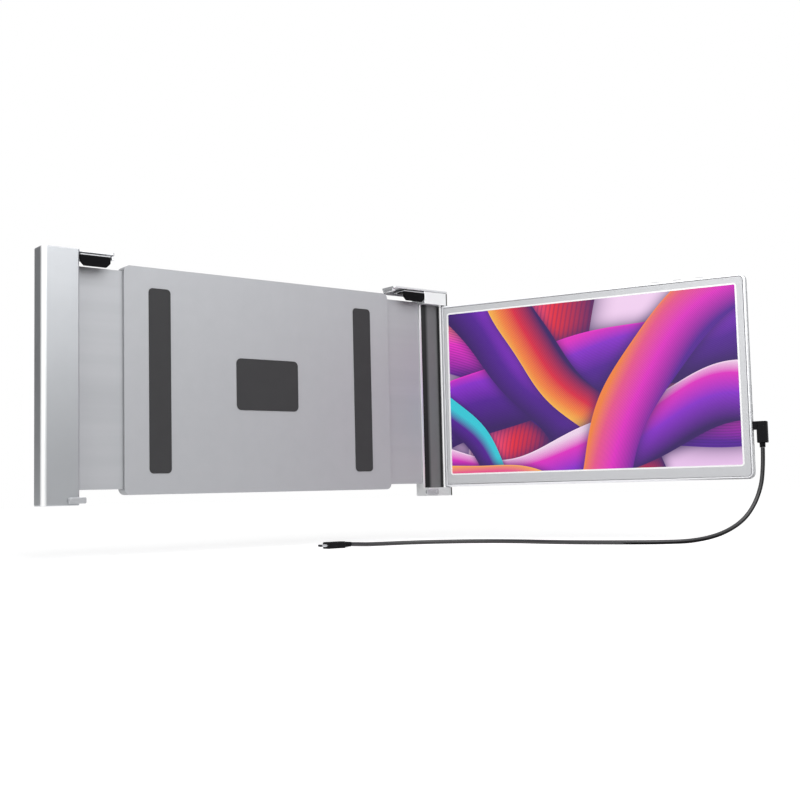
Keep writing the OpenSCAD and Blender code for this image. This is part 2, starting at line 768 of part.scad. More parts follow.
module column_cover() {
    half = column_w / 2;
    rise = spine_front_y - column_front_y;
    r = (half * half + rise * rise) / (2 * rise);
    mid_x = lid_x + column_in + half;
    color([0.2, 0.2, 0.22]) along_z([lower_z[1] + 0.2, upper_z[0] - 0.2]) intersection() {
        translate([mid_x, column_front_y + r]) circle(r, $fn = 96);
        translate([mid_x - half - 1, column_front_y - 1]) square([column_w + 2, rise + 1]);
    }
}

// Block with the bore of one hinge pin: the pin's head sits in the wider part
module hinge_bore(z, head_z) {
    translate([hinge_x, hinge_y, z[0] - cut]) cylinder(h = length(z) + 2 * cut, r = hinge_pin_r + screw_gap);
    translate([hinge_x, hinge_y, head_z[0]]) cylinder(h = length(head_z), r = pin_head_r + 0.1);
}

module right_top_block() {
    pocket_y = [front_y + 2, front_y + 9];
    color("silver") difference() {
        along_z(upper_z) soft_rect(bracket_x, [front_y, bracket_back_y], [0.8, 1.2, 0.4, 0.4]);
        hinge_bore([upper_z[0], upper_z[0] + top_block_floor], [upper_z[0] + top_block_floor, cover_z + cut]);
        box([bracket_x[0] + 2, bracket_x[1] - hinge_from_side - 5], pocket_y,
            [upper_z[0] + top_block_floor, cover_z + cut]);
        right_screw_holes();
    }
}

module right_bottom_block() {
    color("silver") difference() {
        along_z(lower_z) soft_rect(bracket_x, [front_y, bracket_back_y], [0.8, 1.2, 0.4, 0.4]);
        hinge_bore([lower_z[1] - 3, lower_z[1]], [-top_z - cut, lower_z[1] - 3]);
        latch_pivot(1, latch_pin_r + screw_gap);
        right_screw_holes();
    }
}

module right_screws() {
    color("dimgray") for (at = right_screw_at) right_screw(at, arm_screw_r);
}

// Top pin hangs from its head on the block's floor; the bottom one is held from below
module hinge_pins() {
    head_top_z = upper_z[0] + top_block_floor;
    head_low_z = lower_z[1] - 3;
    color("gray") translate([hinge_x, hinge_y, 0]) {
        translate([0, 0, barrel_top - barrel_h]) cylinder(h = head_top_z - barrel_top + barrel_h + pin_head_t,
            r = hinge_pin_r);
        translate([0, 0, head_top_z]) cylinder(h = pin_head_t, r = pin_head_r);
        translate([0, 0, head_low_z - pin_head_t]) cylinder(h = barrel_low + barrel_h - head_low_z + pin_head_t,
            r = hinge_pin_r);
        translate([0, 0, head_low_z - pin_head_t]) cylinder(h = pin_head_t, r = pin_head_r);
    }
}

module hinge_washers() {
    color("dimgray") for (z = [lower_z[1], upper_z[0] - washer_t])
        translate([hinge_x, hinge_y, z]) difference() {
            cylinder(h = washer_t, r = hinge_pin_r + 1.4);
            translate([0, 0, -cut]) cylinder(h = washer_t + 2 * cut, r = hinge_pin_r + screw_gap);
        }
}

// ---- Panel ----

// Outline of the panel in u and z, drawn in by g
module panel_outline(g) {
    far = max(panel_round - g, 0.5);
    near = max(panel_hinge_round - g, 0.5);
    soft_rect([edge_u[0] + g, edge_u[1] - g], [panel_z[0] + g, panel_z[1] - g], [near, far, far, near]);
}

// Opening inside the frame's lip, drawn in by g
module panel_rim(g) {
    far = max(panel_round - lip_w - g, 0.5);
    near = 0.5;
    soft_rect(grow(rim_u, -g), grow(rim_z, -g), [near, far, far, near]);
}

module panel_frame() {
    color("silver") on_panel() difference() {
        union() {
            difference() {
                along_y([face_v, frame_back_v]) panel_outline(0);
                along_y([face_v + lip_t, frame_back_v + cut]) panel_outline(frame_wall);
                along_y([face_v - cut, frame_back_v]) panel_rim(0);
            }
            for (at = panel_screw_at) bar_y(at[0], at[1], [face_v + lip_t, frame_back_v], boss_r);
            // ribs that tie the screw bosses to the walls
            for (at = panel_screw_at) frame_rib(at);
        }
        for (at = panel_screw_at) bar_y(at[0], at[1], [frame_back_v - 3.2, frame_back_v + cut],
            panel_screw_r + screw_gap);
        translate([0, 0, panel_z[0] - cut]) cylinder(h = panel_h + 2 * cut, r = hinge_pin_r + 0.25);
        for (u = button_u) along_z([wall_z[1] - cut, panel_z[1] + cut])
            even_rect([u - button_len / 2 - button_gap, u + button_len / 2 + button_gap],
                [button_v - button_w / 2 - button_gap, button_v + button_w / 2 + button_gap],
                button_w / 2);
        socket_notches();
    }
}
button_u = [for (i = [-1:1]) button_mid_u + i * button_pitch];

// Notches for the sockets, through the frame's wall and the edge of the rear cover
module socket_notches() {
    for (i = [0:len(socket_z) - 1]) along_x([wall_u[1] - cut, edge_u[1] + cut])
        socket_outline(i, 0.1);
}

// Rib from a boss to the nearest wall
module frame_rib(at) {
    v = [face_v + lip_t, frame_back_v - 1];
    if (at[0] > tray_u[1]) box([at[0], wall_u[1] + 0.2], v, [at[1] - 0.6, at[1] + 0.6]);
    else if (at[1] > 0) box([at[0] - 0.6, at[0] + 0.6], v, [at[1], wall_z[1] + 0.2]);
    else box([at[0] - 0.6, at[0] + 0.6], v, [wall_z[0] - 0.2, at[1]]);
}

// Ring between two outlines given by their spans
module sheet_ring(v, u_out, z_out, r_out, u_in, z_in, r_in) {
    difference() {
        along_y(v) even_rect(u_out, z_out, r_out);
        along_y(grow(v, cut)) even_rect(u_in, z_in, r_in);
    }
}

module front_bezel() {
    color("gainsboro") on_panel() difference() {
        along_y(bezel_v) panel_rim(seam_gap);
        along_y(grow(bezel_v, cut)) even_rect(grow(lit_u, border_w), grow(lit_z, border_w), 2);
    }
}

module screen_border() {
    color("white") on_panel() sheet_ring(bezel_v, grow(lit_u, border_w), grow(lit_z, border_w), 2,
        lit_u, lit_z, 1.2);
}

module lcd_cell() {
    color([0.35, 0.12, 0.5]) on_panel() box(cell_u, cell_v, cell_z);
}

module light_guide() {
    color("white") on_panel() box(cell_u, guide_v, [cell_z[0] + led_h, cell_z[1]]);
}

module backlight_tray() {
    color("lightgray") on_panel() difference() {
        box(tray_u, tray_v, tray_z);
        box(cell_u, [tray_v[0] - cut, guide_v[1]], cell_z);
    }
}

module led_strip() {
    color("ivory") on_panel() box(grow(cell_u, -8), guide_v, [cell_z[0], cell_z[0] + led_h - 0.1]);
}

// Driver board, its parts and the ribbon from the display
board_len = 72.5;
board_h = 68;
board_end_u = edge_u[1] - cover_side - 0.3;
board_u = [board_end_u - board_len, board_end_u];
board_low = 26;        // height of the board above the panel's bottom edge
board_z = [panel_z[0] + board_low, panel_z[0] + board_low + board_h];
ribbon_w = 28;
ribbon_in = 9.7;       // ribbon to the board's near edge
ribbon_u = [board_u[0] + ribbon_in, board_u[0] + ribbon_in + ribbon_w];
ribbon_end = 12;       // how far it reaches over the board
ribbon_end_z = board_z[0] + ribbon_end;
// Square parts on the board: side, then place along and up from its low corner
board_chips = [[16, 18, 34], [8, 42, 40], [5, 44, 14], [5, 44, 22]];

module driver_board() {
    color("green") on_panel() box(board_u, board_v, board_z);
}

module board_parts() {
    color([0.12, 0.12, 0.13]) on_panel() {
        for (chip = board_chips) translate([board_u[0] + chip[1], part_v[0], board_z[0] + chip[2]])
            cube([chip[0], length(part_v), chip[0]]);
        box(ribbon_u, part_v, [ribbon_end_z - 4, ribbon_end_z]);   // the ribbon's connector
    }
}

module display_ribbon() {
    t = 0.2;
    low_z = tray_z[0] - 0.8;
    front_v = cell_v[0] + 0.4;
    rear_v = part_v[0] - t;
    color([0.6, 0.4, 0.15]) on_panel() {
        box(ribbon_u, [front_v, front_v + t], [low_z, cell_z[0]]);
        box(ribbon_u, [front_v, rear_v + t], [low_z, low_z + t]);
        box(ribbon_u, [rear_v, rear_v + t], [low_z, ribbon_end_z]);
    }
}

// Outline of socket i, across the panel's edge, made wider by g
module socket_outline(i, g) {
    half = socket_long[i] / 2 + g;
    wide = socket_wide / 2 + g;
    even_rect([socket_v - wide, socket_v + wide], [socket_z[i] - half, socket_z[i] + half], 1.2);
}

module socket_shells() {
    color("silver") on_panel() for (i = [0:len(socket_z) - 1]) {
        difference() {
            along_x(socket_u) socket_outline(i, 0);
            along_x([socket_u[0] + socket_floor, socket_u[1] + cut]) socket_outline(i, -socket_skin);
        }
        box([socket_u[0], socket_u[1] - 1], [socket_v - 0.35, socket_v + 0.35],
            [socket_z[i] - 3.3, socket_z[i] + 3.3]);
    }
}

module button_board() {
    color("green") on_panel() {
        box([button_u[0] - 12, button_u[2] + 12], [face_v + 1.2, frame_back_v + 1], switch_board_z);
        for (u = button_u) {
            box([u - 2, u + 2], [button_v - 1.4, button_v + 1.4], [switch_board_z[1], switch_top_z - 0.6]);
            translate([u, button_v, switch_board_z[1]])
                cylinder(h = switch_top_z - switch_board_z[1], r = 0.8);
        }
    }
}

// Barrel and leaf of the panel's hinge at one corner, with its low end at z
module hinge_leaf(z) {
    difference() {
        union() {
            translate([0, 0, z]) cylinder(h = barrel_h, r = barrel_r);
            box([0, leaf_len], leaf_v, [z, z + barrel_h]);
        }
        translate([0, 0, z - cut]) cylinder(h = barrel_h + 2 * cut, r = hinge_pin_r + run_gap);
    }
}

module hinge_leaves() {
    color("gray") on_panel() {
        hinge_leaf(barrel_low);
        hinge_leaf(barrel_top - barrel_h);
    }
}

// The rear cover's edge steps in towards its back: depth before the back, and how far in
cover_steps = [[0.9, 0.4], [0.45, 1.1], [0, 2.2]];

module panel_rear_cover() {
    color("silver") on_panel() difference() {
        union() {
            difference() {
                union() {
                    along_y([frame_back_v, back_v - 1.4]) panel_outline(0);
                    for (step = cover_steps)
                        along_y([frame_back_v, back_v - step[0]]) panel_outline(step[1]);
                }
                along_y([frame_back_v - cut, back_v - cover_skin]) panel_outline(cover_side);
            }
            for (at = panel_screw_at) bar_y(at[0], at[1], [frame_back_v, back_v - 0.5], boss_r);
        }
        socket_notches();
        for (at = panel_screw_at) {
            bar_y(at[0], at[1], [frame_back_v - cut, back_v + cut], panel_screw_r + screw_gap);
            translate([at[0], back_v, at[1]]) rotate([90, 0, 0])
                cylinder(h = 0.8, r1 = 1.9, r2 = panel_screw_r + screw_gap);
        }
    }
}

module panel_screws() {
    color("dimgray") on_panel() for (at = panel_screw_at) {
        bar_y(at[0], at[1], [frame_back_v - 3, back_v], panel_screw_r);
        translate([at[0], back_v, at[1]]) rotate([90, 0, 0]) cylinder(h = 0.8, r1 = 1.85, r2 = panel_screw_r);
    }
}

// ---- Buttons ----

module edge_button(i) {
    u = button_u[i];
    on_panel() {
        along_z([flange_z[0], panel_z[1] + button_proud]) even_rect([u - button_len / 2, u + button_len / 2],
            [button_v - button_w / 2, button_v + button_w / 2], button_w / 2 - 0.05);
        box([u - button_len / 2 - button_rim, u + button_len / 2 + button_rim],
            [button_v - button_w / 2 - button_rim, button_v + button_w / 2 + button_rim], flange_z);
    }
}

module power_button() {
    color([0.25, 0.25, 0.27]) edge_button(2);
}
module up_button() {
    color([0.25, 0.25, 0.27]) edge_button(1);
}
module down_button() {
    color([0.25, 0.25, 0.27]) edge_button(0);
}

// ---- Cord ----

// Hollow metal tip of a plug, along X from 0 to its length, with its long side along Z
module tip_shell(len) {
    difference() {
        along_x([0, len]) even_rect([-tip_wide / 2, tip_wide / 2], [-tip_long / 2, tip_long / 2], 1.1);
        along_x([-cut, len - 0.4]) even_rect([-tip_wide / 2 + tip_skin, tip_wide / 2 - tip_skin],
            [-tip_long / 2 + tip_skin, tip_long / 2 - tip_skin], 0.8);
    }
}
tip_len = 6;

// The straight plug lies on the surface, pointing away from the cord
module at_far_plug() {
    translate(far_plug_at) rotate([0, 0, far_plug_turn]) children();
}

module right_angle_plug() {
    v = [socket_v - plug_t / 2, socket_v + plug_t / 2];
    color([0.08, 0.08, 0.09]) on_panel() along_y(v) {
        even_rect(plug_u, plug_arm_z, 1.4);
        even_rect(plug_body_u, plug_body_z, 1.4);
    }
}

module plug_tips() {
    color("silver") {
        on_panel() translate([plug_u[0] - tip_len, socket_v, socket_z[0]]) tip_shell(tip_len);
        at_far_plug() translate([far_plug_end, 0, 0]) rotate([90, 0, 0]) mirror([1, 0, 0])
            translate([-tip_len, 0, 0]) tip_shell(tip_len);
    }
}
far_relief_len = 9;
far_plug_end = far_relief_len + far_plug_len;

module strain_reliefs() {
    color([0.08, 0.08, 0.09]) {
        on_panel() translate([relief_u, socket_v, plug_body_z[0] - relief_len])
            cylinder(h = relief_len, r1 = cord_r + 0.3, r2 = cord_r + 0.9);
        at_far_plug() translate([slide_gap, 0, 0]) rotate([0, 90, 0])
            cylinder(h = far_relief_len - slide_gap, r1 = cord_r + 0.3, r2 = cord_r + 0.9);
    }
}

module far_plug() {
    half = (plug_t - 0.5) / 2;
    color([0.08, 0.08, 0.09]) at_far_plug() along_x([far_relief_len, far_plug_end])
        even_rect([-far_plug_wide / 2, far_plug_wide / 2], [-half, half], 2);
}

// Tube of the cord: rings of points round a smooth curve through the route
function unit(v) = v / norm(v);
function route_at(i) = cord_route[max(0, min(len(cord_route) - 1, i))];
function curve(i, t) =
    let (a = route_at(i - 1), b = route_at(i), c = route_at(i + 1), d = route_at(i + 2))
    0.5 * (2 * b + (c - a) * t + (2 * a - 5 * b + 4 * c - d) * t * t + (3 * b - a - 3 * c + d) * t * t * t);
function steps(i) = max(1, ceil(norm(route_at(i + 1) - route_at(i)) / ring_step));
spine_points = concat(
    [for (i = [0:len(cord_route) - 2]) for (k = [0:steps(i) - 1]) curve(i, k / steps(i))],
    [cord_route[len(cord_route) - 1]]
);
function heading(i) = unit(spine_points[min(i + 1, len(spine_points) - 1)] - spine_points[max(i - 1, 0)]);
function side_of(h) = unit(cross(h, abs(h[2]) > 0.8 ? [0.6, 0.8, 0] : [0, 0, 1]));
// Rings keep facing the same way by carrying the last ring's side along
function carried(i) = i == 0 ? side_of(heading(0)) :
    let (h = heading(i), s = carried(i - 1)) unit(s - (s * h) * h);
function ring(i) =
    let (h = heading(i), s = carried(i), n = cross(h, s))
    [for (k = [0:cord_sides - 1]) let (a = 360 * (k + 0.5) / cord_sides)
        spine_points[i] + cord_r * (cos(a) * s + sin(a) * n)];

module cord() {
    rings = len(spine_points);
    n = cord_sides;
    points = [for (i = [0:rings - 1]) each ring(i)];
    sides = [for (i = [0:rings - 2]) for (k = [0:n - 1]) let (j = (k + 1) % n)
        [i * n + k, (i + 1) * n + k, (i + 1) * n + j, i * n + j]];
    start = [for (k = [0:n - 1]) k];
    end = [for (k = [n - 1:-1:0]) (rings - 1) * n + k];
    color([0.08, 0.08, 0.09]) polyhedron(points = points, faces = concat([start], sides, [end]), convexity = 8);
}

chassis_rear_cover();
chassis_front_plate();
lid_rest_pads();
guide_rails();
rail_shoes();
cover_screws();
travel_stop_pins();
stand_hinge_pins();
kickstand();
kickstand_foot();
left_arm_plate();
left_block_shell();
left_block_caps();
left_carrier();
left_carrier_screws();
left_clamp_cover();
left_hook_strip();
left_hook_pad();
left_latch_pin();
left_latch();
left_latch_pad();
right_arm_plate();
right_spine();
right_back_plate();
column_cover();
right_top_block();
right_bottom_block();
right_clamp_cover();
right_hook_strip();
right_hook_pad();
hinge_pins();
hinge_washers();
right_screws();
right_latch_pin();
right_latch();
right_latch_pad();
panel_frame();
front_bezel();
screen_border();
lcd_cell();
light_guide();
backlight_tray();
led_strip();
driver_board();
board_parts();
display_ribbon();
socket_shells();
button_board();
hinge_leaves();
panel_rear_cover();
panel_screws();
right_angle_plug();
plug_tips();
strain_reliefs();
cord();
far_plug();
power_button();
up_button();
down_button();
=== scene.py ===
import json
import math

import bmesh
import bpy
from mathutils import Matrix, Vector


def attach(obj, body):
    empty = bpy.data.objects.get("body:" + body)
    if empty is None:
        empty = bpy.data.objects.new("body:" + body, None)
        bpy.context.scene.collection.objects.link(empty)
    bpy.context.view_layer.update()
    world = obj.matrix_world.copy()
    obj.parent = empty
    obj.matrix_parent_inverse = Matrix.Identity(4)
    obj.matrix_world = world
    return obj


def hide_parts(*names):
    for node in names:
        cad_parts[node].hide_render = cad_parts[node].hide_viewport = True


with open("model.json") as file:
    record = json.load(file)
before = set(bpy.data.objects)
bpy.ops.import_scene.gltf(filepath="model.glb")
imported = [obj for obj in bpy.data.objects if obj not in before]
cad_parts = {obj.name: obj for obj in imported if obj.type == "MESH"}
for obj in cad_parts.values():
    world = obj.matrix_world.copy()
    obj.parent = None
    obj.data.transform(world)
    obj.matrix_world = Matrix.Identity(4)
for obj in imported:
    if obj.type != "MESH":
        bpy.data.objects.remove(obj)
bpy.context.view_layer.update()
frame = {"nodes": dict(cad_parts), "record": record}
nodes = frame["nodes"]
bodyOf = {}
for bodyName, members in frame["record"]["behaviour"]["bodies"].items():
    for member in members:
        bodyOf[member] = bodyName
mm = 0.001
print("frame loaded:", len(nodes), "nodes")


def inScene(name, data):  # a new object that holds the data
    thing = bpy.data.objects.new(name, data)
    bpy.context.scene.collection.objects.link(thing)
    return thing


camera = {
    "place": (-582.7, -950.4, -106.2),  # mm, left of the lid and just under its middle
    "yaw": 38.14,  # degrees from +Y toward +X
    "pitch": 4.58,  # degrees up
    "roll": -1.36,  # degrees about its line of sight
    "lens": 51.14,  # mm, as is the sensor's width
    "sensor": 36.0,
    "near": 0.01,  # metres, the span of what it sees
    "far": 30.0,
}


def makeCamera():
    data = bpy.data.cameras.new("camera")
    data.lens = camera["lens"]
    data.sensor_width = camera["sensor"]
    data.clip_start = camera["near"]
    data.clip_end = camera["far"]
    seen = inScene("camera", data)
    turn = Matrix.Rotation(math.radians(-camera["yaw"]), 4, "Z")
    tilt = Matrix.Rotation(math.pi / 2 + math.radians(camera["pitch"]), 4, "X")
    roll = Matrix.Rotation(math.radians(camera["roll"]), 4, "Z")
    seen.matrix_world = Matrix.Translation(Vector(camera["place"]) * mm) @ turn @ tilt @ roll
    bpy.context.scene.camera = seen


makeCamera()
print("camera placed")

# where the panel stands; its sizes come with its pieces
panel = {
    "hinge": (224.0, -4.5),  # mm, the hinge axis
    "angle": 67.0,  # degrees, from the lid's plane toward the user
}


def onPanel(u, v, z):  # along the panel, back through it and up, to the frame's mm
    turn = math.radians(panel["angle"])
    c, s = math.cos(turn), math.sin(turn)
    return (panel["hinge"][0] + u * c + v * s, panel["hinge"][1] - u * s + v * c, z)


# each takes a point of an outline, a and b, and the depth of that outline
places = {
    "z": lambda a, b, d: (a, b, d),
    "y": lambda a, b, d: (a, d, b),
    "x": lambda a, b, d: (d, a, b),
    "panel": lambda a, b, d: onPanel(a, d, b),
    "panelUp": lambda a, b, d: onPanel(a, b, d),
    "panelAlong": lambda a, b, d: onPanel(d, a, b),
}

softAngle = 35  # degrees, a sharper edge than this isn't shaded smooth
cornerSteps = 8  # flats in a rounded corner
roundSides = 24  # flats around a turned shape
leastRadius = 0.04  # mm, of a corner that an inset has used up


def smooth(thing, angle=softAngle):
    thing.data.shade_smooth()
    thing.data.set_sharp_from_angle(angle=math.radians(angle))


def newObject(name, verts, faces):  # from places in mm
    mesh = bpy.data.meshes.new(name)
    mesh.from_pydata([Vector(v) * mm for v in verts], [], faces)
    thing = inScene(name, mesh)
    work = bmesh.new()
    work.from_mesh(mesh)
    bmesh.ops.recalc_face_normals(work, faces=work.faces)
    work.to_mesh(mesh)
    work.free()
    smooth(thing)
    return thing


def joined(name, things):  # one object from several that are already in place
    work = bmesh.new()
    for thing in things:
        work.from_mesh(thing.data)
        bpy.data.objects.remove(thing)
    mesh = bpy.data.meshes.new(name)
    work.to_mesh(mesh)
    work.free()
    whole = inScene(name, mesh)
    smooth(whole)
    return whole


# rounded rectangle from its low corner, drawn in by the inset; the side at across[0] may have its own
def outline(across, up, radii, inset=0.0, firstInset=None):
    left = across[0] + (inset if firstInset is None else firstInset)
    right = across[1] - inset
    low = up[0] + inset
    high = up[1] - inset
    r = [max(radius - inset, leastRadius) for radius in radii]
    middles = [
        (left + r[0], low + r[0]),
        (right - r[1], low + r[1]),
        (right - r[2], high - r[2]),
        (left + r[3], high - r[3]),
    ]
    points = []
    for corner, (x, y) in enumerate(middles):
        for step in range(cornerSteps + 1):
            angle = math.radians(180 + 90 * corner + 90 * step / cornerSteps)
            points.append((x + r[corner] * math.cos(angle), y + r[corner] * math.sin(angle)))
    return points


def loft(name, rings, place, closed=False):  # skin over rings of (outline's points, depth)
    count = len(rings[0][0])
    put = places[place]
    verts = [put(p[0], p[1], depth) for points, depth in rings for p in points]
    faces = []
    last = len(rings) if closed else len(rings) - 1
    for ring in range(last):
        low = ring * count
        high = (ring + 1) % len(rings) * count
        for i in range(count):
            j = (i + 1) % count
            faces.append((low + i, low + j, high + j, high + i))
    if not closed:
        faces.append(tuple(range(count)))
        faces.append(tuple(range((len(rings) - 1) * count, len(rings) * count)))
    return newObject(name, verts, faces)


def arc(depth, inset, radius, start, end, steps=5):  # (depth, inset) points round a middle
    points = []
    for step in range(steps + 1):
        angle = math.radians(start + (end - start) * step / steps)
        points.append((depth + radius * math.sin(angle), inset + radius * math.cos(angle)))
    return points


# extruded outline whose corners have the radii, and its two ends the radii in edges
def softBlock(name, across, up, depth, radii, edges, place):
    profile = []
    if edges[0]:
        profile += arc(depth[0] + edges[0], edges[0], edges[0], 270, 180)
    else:
        profile.append((depth[0], 0))
    if edges[1]:
        profile += arc(depth[1] - edges[1], edges[1], edges[1], 180, 90)
    else:
        profile.append((depth[1], 0))
    rings = [(outline(across, up, radii, inset), at) for at, inset in profile]
    return loft(name, rings, place)


def applied(thing):  # its modifiers made part of its mesh
    seen = bpy.context.evaluated_depsgraph_get()
    mesh = bpy.data.meshes.new_from_object(thing.evaluated_get(seen))
    thing.modifiers.clear()
    thing.data = mesh
    smooth(thing)


def cutOut(thing, cutter):  # takes the cutter's shape out of a piece
    tool = thing.modifiers.new("cut", "BOOLEAN")
    tool.operation = "DIFFERENCE"
    tool.solver = "EXACT"
    tool.object = cutter
    bpy.context.view_layer.update()
    applied(thing)
    bpy.data.objects.remove(cutter)


dressing = {
    "merge": 0.002,  # mm, nearer corners than this are one
    "level": 0.8,  # degrees, faces nearer to level than this are one
    "sharp": 32,  # degrees, sharper edges than this are broken
    "segments": 3,
}


def dressed(name, bevel):  # clean copy of a CAD node's shape with its edges broken
    mesh = nodes[name].data.copy()
    level = math.radians(dressing["level"])
    work = bmesh.new()
    work.from_mesh(mesh)
    bmesh.ops.remove_doubles(work, verts=work.verts, dist=dressing["merge"] * mm)
    bmesh.ops.dissolve_limit(work, angle_limit=level, verts=work.verts, edges=work.edges)
    work.to_mesh(mesh)
    work.free()
    mesh.materials.clear()
    thing = inScene("dressed_" + name, mesh)
    rounding = thing.modifiers.new("edges", "BEVEL")
    rounding.width = bevel * mm
    rounding.segments = dressing["segments"]
    rounding.limit_method = "ANGLE"
    rounding.angle_limit = math.radians(dressing["sharp"])
    smooth(thing, dressing["sharp"])
    return thing


print("helpers ready")

# base and second: the two tones that a slow noise mixes; grain: mm, size of the fine noise under bump
# band: (four spots along X in mm, tone outside them); painted_highlight: (the same across a corner, painted
# highlight tone between)
finishes = {
    "block_silver": {"base": (0.47, 0.485, 0.505), "second": (0.445, 0.46, 0.48), "metallic": 0.7,
                     "roughness": (0.36, 0.44), "grain": 0.25, "bump": 0.06,
                     # painted highlight: a light tone down the block's rounded front corner
                     "painted_highlight": ((-172.0, -168.0, -164.45, -163.6), (0.86, 0.865, 0.87))},
    "bracket_silver": {"base": (0.90, 0.91, 0.92), "second": (0.87, 0.88, 0.89), "metallic": 0.5,
                       "roughness": (0.28, 0.36), "grain": 0.3, "bump": 0.04},
    "clamp_silver": {"base": (0.74, 0.75, 0.77), "second": (0.70, 0.71, 0.73), "metallic": 0.6,
                     "roughness": (0.26, 0.34), "grain": 0.3, "bump": 0.04},
    "arm_plate": {"base": (0.50, 0.51, 0.53), "second": (0.42, 0.43, 0.45), "metallic": 0.45,
                  "roughness": (0.5, 0.62), "grain": 0.4, "bump": 0.08, "stretch": (0.03, 1, 1)},
    "chassis_plastic": {"base": (0.46, 0.47, 0.49), "second": (0.43, 0.44, 0.46), "metallic": 0.25,
                        "roughness": (0.46, 0.56), "grain": 0.5, "bump": 0.1},
    "stand_plastic": {"base": (0.62, 0.63, 0.65), "second": (0.59, 0.6, 0.62), "metallic": 0.3,
                      "roughness": (0.4, 0.5), "grain": 0.5, "bump": 0.08},
    "black_rubber": {"base": (0.003, 0.003, 0.004), "second": (0.005, 0.005, 0.006), "metallic": 0.0,
                     "roughness": (0.5, 0.62), "grain": 0.4, "bump": 0.12, "specular": 0.06},
    "grey_rubber": {"base": (0.035, 0.035, 0.037), "second": (0.045, 0.045, 0.047), "metallic": 0.0,
                    "roughness": (0.68, 0.8), "grain": 0.4, "bump": 0.2, "specular": 0.3},
    "spring_steel": {"base": (0.55, 0.56, 0.58), "second": (0.49, 0.50, 0.52), "metallic": 0.5,
                     "roughness": (0.34, 0.44), "grain": 0.5, "bump": 0.04},
    "pin_steel": {"base": (0.5, 0.5, 0.52), "second": (0.4, 0.4, 0.42), "metallic": 1.0,
                  "roughness": (0.2, 0.34), "grain": 0.3, "bump": 0.08, "stretch": (1, 1, 6)},
    "screw_steel": {"base": (0.2, 0.2, 0.21), "second": (0.13, 0.13, 0.14), "metallic": 0.9,
                    "roughness": (0.26, 0.4), "grain": 0.3, "bump": 0.08},
    "slide_nylon": {"base": (0.12, 0.12, 0.13), "second": (0.1, 0.1, 0.11), "metallic": 0.0,
                    "roughness": (0.42, 0.55), "grain": 0.6, "bump": 0.08},
    "white_nylon": {"base": (0.78, 0.78, 0.75), "second": (0.72, 0.72, 0.69), "metallic": 0.0,
                    "roughness": (0.4, 0.55), "grain": 0.6, "bump": 0.08},
    # painted reflection: a grey strip down the middle of the otherwise near-black column
    "column_grey": {"base": (0.17, 0.17, 0.175), "second": (0.15, 0.15, 0.155), "metallic": 0.0,
                    "roughness": (0.34, 0.42), "grain": 0.3, "bump": 0.05, "specular": 0.2,
                    "band": ((201.5, 205.0, 216.0, 219.0), (0.012, 0.012, 0.013))},
    "panel_silver": {"base": (0.84, 0.85, 0.87), "second": (0.81, 0.82, 0.84), "metallic": 0.5,
                     "roughness": (0.28, 0.36), "grain": 0.25, "bump": 0.04},
    "panel_back": {"base": (0.62, 0.63, 0.65), "second": (0.59, 0.6, 0.62), "metallic": 0.45,
                   "roughness": (0.38, 0.46), "grain": 0.3, "bump": 0.07},
    "bezel_grey": {"base": (0.565, 0.575, 0.59), "second": (0.545, 0.555, 0.57), "metallic": 0.1,
                   "roughness": (0.3, 0.38), "grain": 0.4, "bump": 0.02},
    "border_white": {"base": (0.97, 0.97, 0.97), "second": (0.95, 0.95, 0.95), "metallic": 0.0,
                     "roughness": (0.3, 0.4), "grain": 0.4, "bump": 0.02},
    "clear_acrylic": {"base": (0.86, 0.88, 0.88), "second": (0.8, 0.83, 0.83), "metallic": 0.0,
                      "roughness": (0.15, 0.3), "grain": 0.6, "bump": 0.05},
    "tray_steel": {"base": (0.6, 0.61, 0.62), "second": (0.5, 0.51, 0.52), "metallic": 1.0,
                   "roughness": (0.26, 0.4), "grain": 0.5, "bump": 0.06, "stretch": (0.1, 1, 1)},
    "led_white": {"base": (0.85, 0.82, 0.6), "second": (0.8, 0.8, 0.72), "metallic": 0.0,
                  "roughness": (0.4, 0.5), "grain": 1.0, "bump": 0.05},
    "board_green": {"base": (0.02, 0.15, 0.06), "second": (0.03, 0.2, 0.09), "metallic": 0.0,
                    "roughness": (0.3, 0.42), "grain": 0.8, "bump": 0.08},
    "chip_black": {"base": (0.03, 0.03, 0.034), "second": (0.05, 0.05, 0.054), "metallic": 0.0,
                   "roughness": (0.45, 0.6), "grain": 0.4, "bump": 0.1},
    "flex_amber": {"base": (0.42, 0.22, 0.05), "second": (0.34, 0.16, 0.04), "metallic": 0.0,
                   "roughness": (0.26, 0.38), "grain": 0.6, "bump": 0.05},
    "plug_black": {"base": (0.005, 0.005, 0.006), "second": (0.008, 0.008, 0.009), "metallic": 0.0,
                   "roughness": (0.42, 0.54), "grain": 0.3, "bump": 0.1, "specular": 0.1},
    "tip_metal": {"base": (0.62, 0.63, 0.65), "second": (0.5, 0.51, 0.53), "metallic": 1.0,
                  "roughness": (0.2, 0.3), "grain": 0.3, "bump": 0.05},
    "cord_black": {"base": (0.008, 0.008, 0.009), "second": (0.012, 0.012, 0.013), "metallic": 0.0,
                   "roughness": (0.34, 0.44), "grain": 0.5, "bump": 0.06, "specular": 0.7},
    "button_grey": {"base": (0.16, 0.16, 0.17), "second": (0.2, 0.2, 0.21), "metallic": 0.3,
                    "roughness": (0.3, 0.4), "grain": 0.3, "bump": 0.05},
}
# painted shade: the bracket's two end blocks are darkened on the side that faces the panel
finishes["bracket_ends"] = {
    **finishes["bracket_silver"],
    "band": ((100.0, 110.0, 225.0, 225.6), (0.03, 0.03, 0.03)),
}

noise = {
    "slow": 18.0,  # mm, size of the change between a finish's two tones
    "slowDetail": 3.0,
    "fineDetail": 2.0,
    "bumpHeight": 0.1,  # mm, of a grain whose bump is 1
    "bandMargin": 5.0,  # mm, that a band's ramp reaches past its spots
}


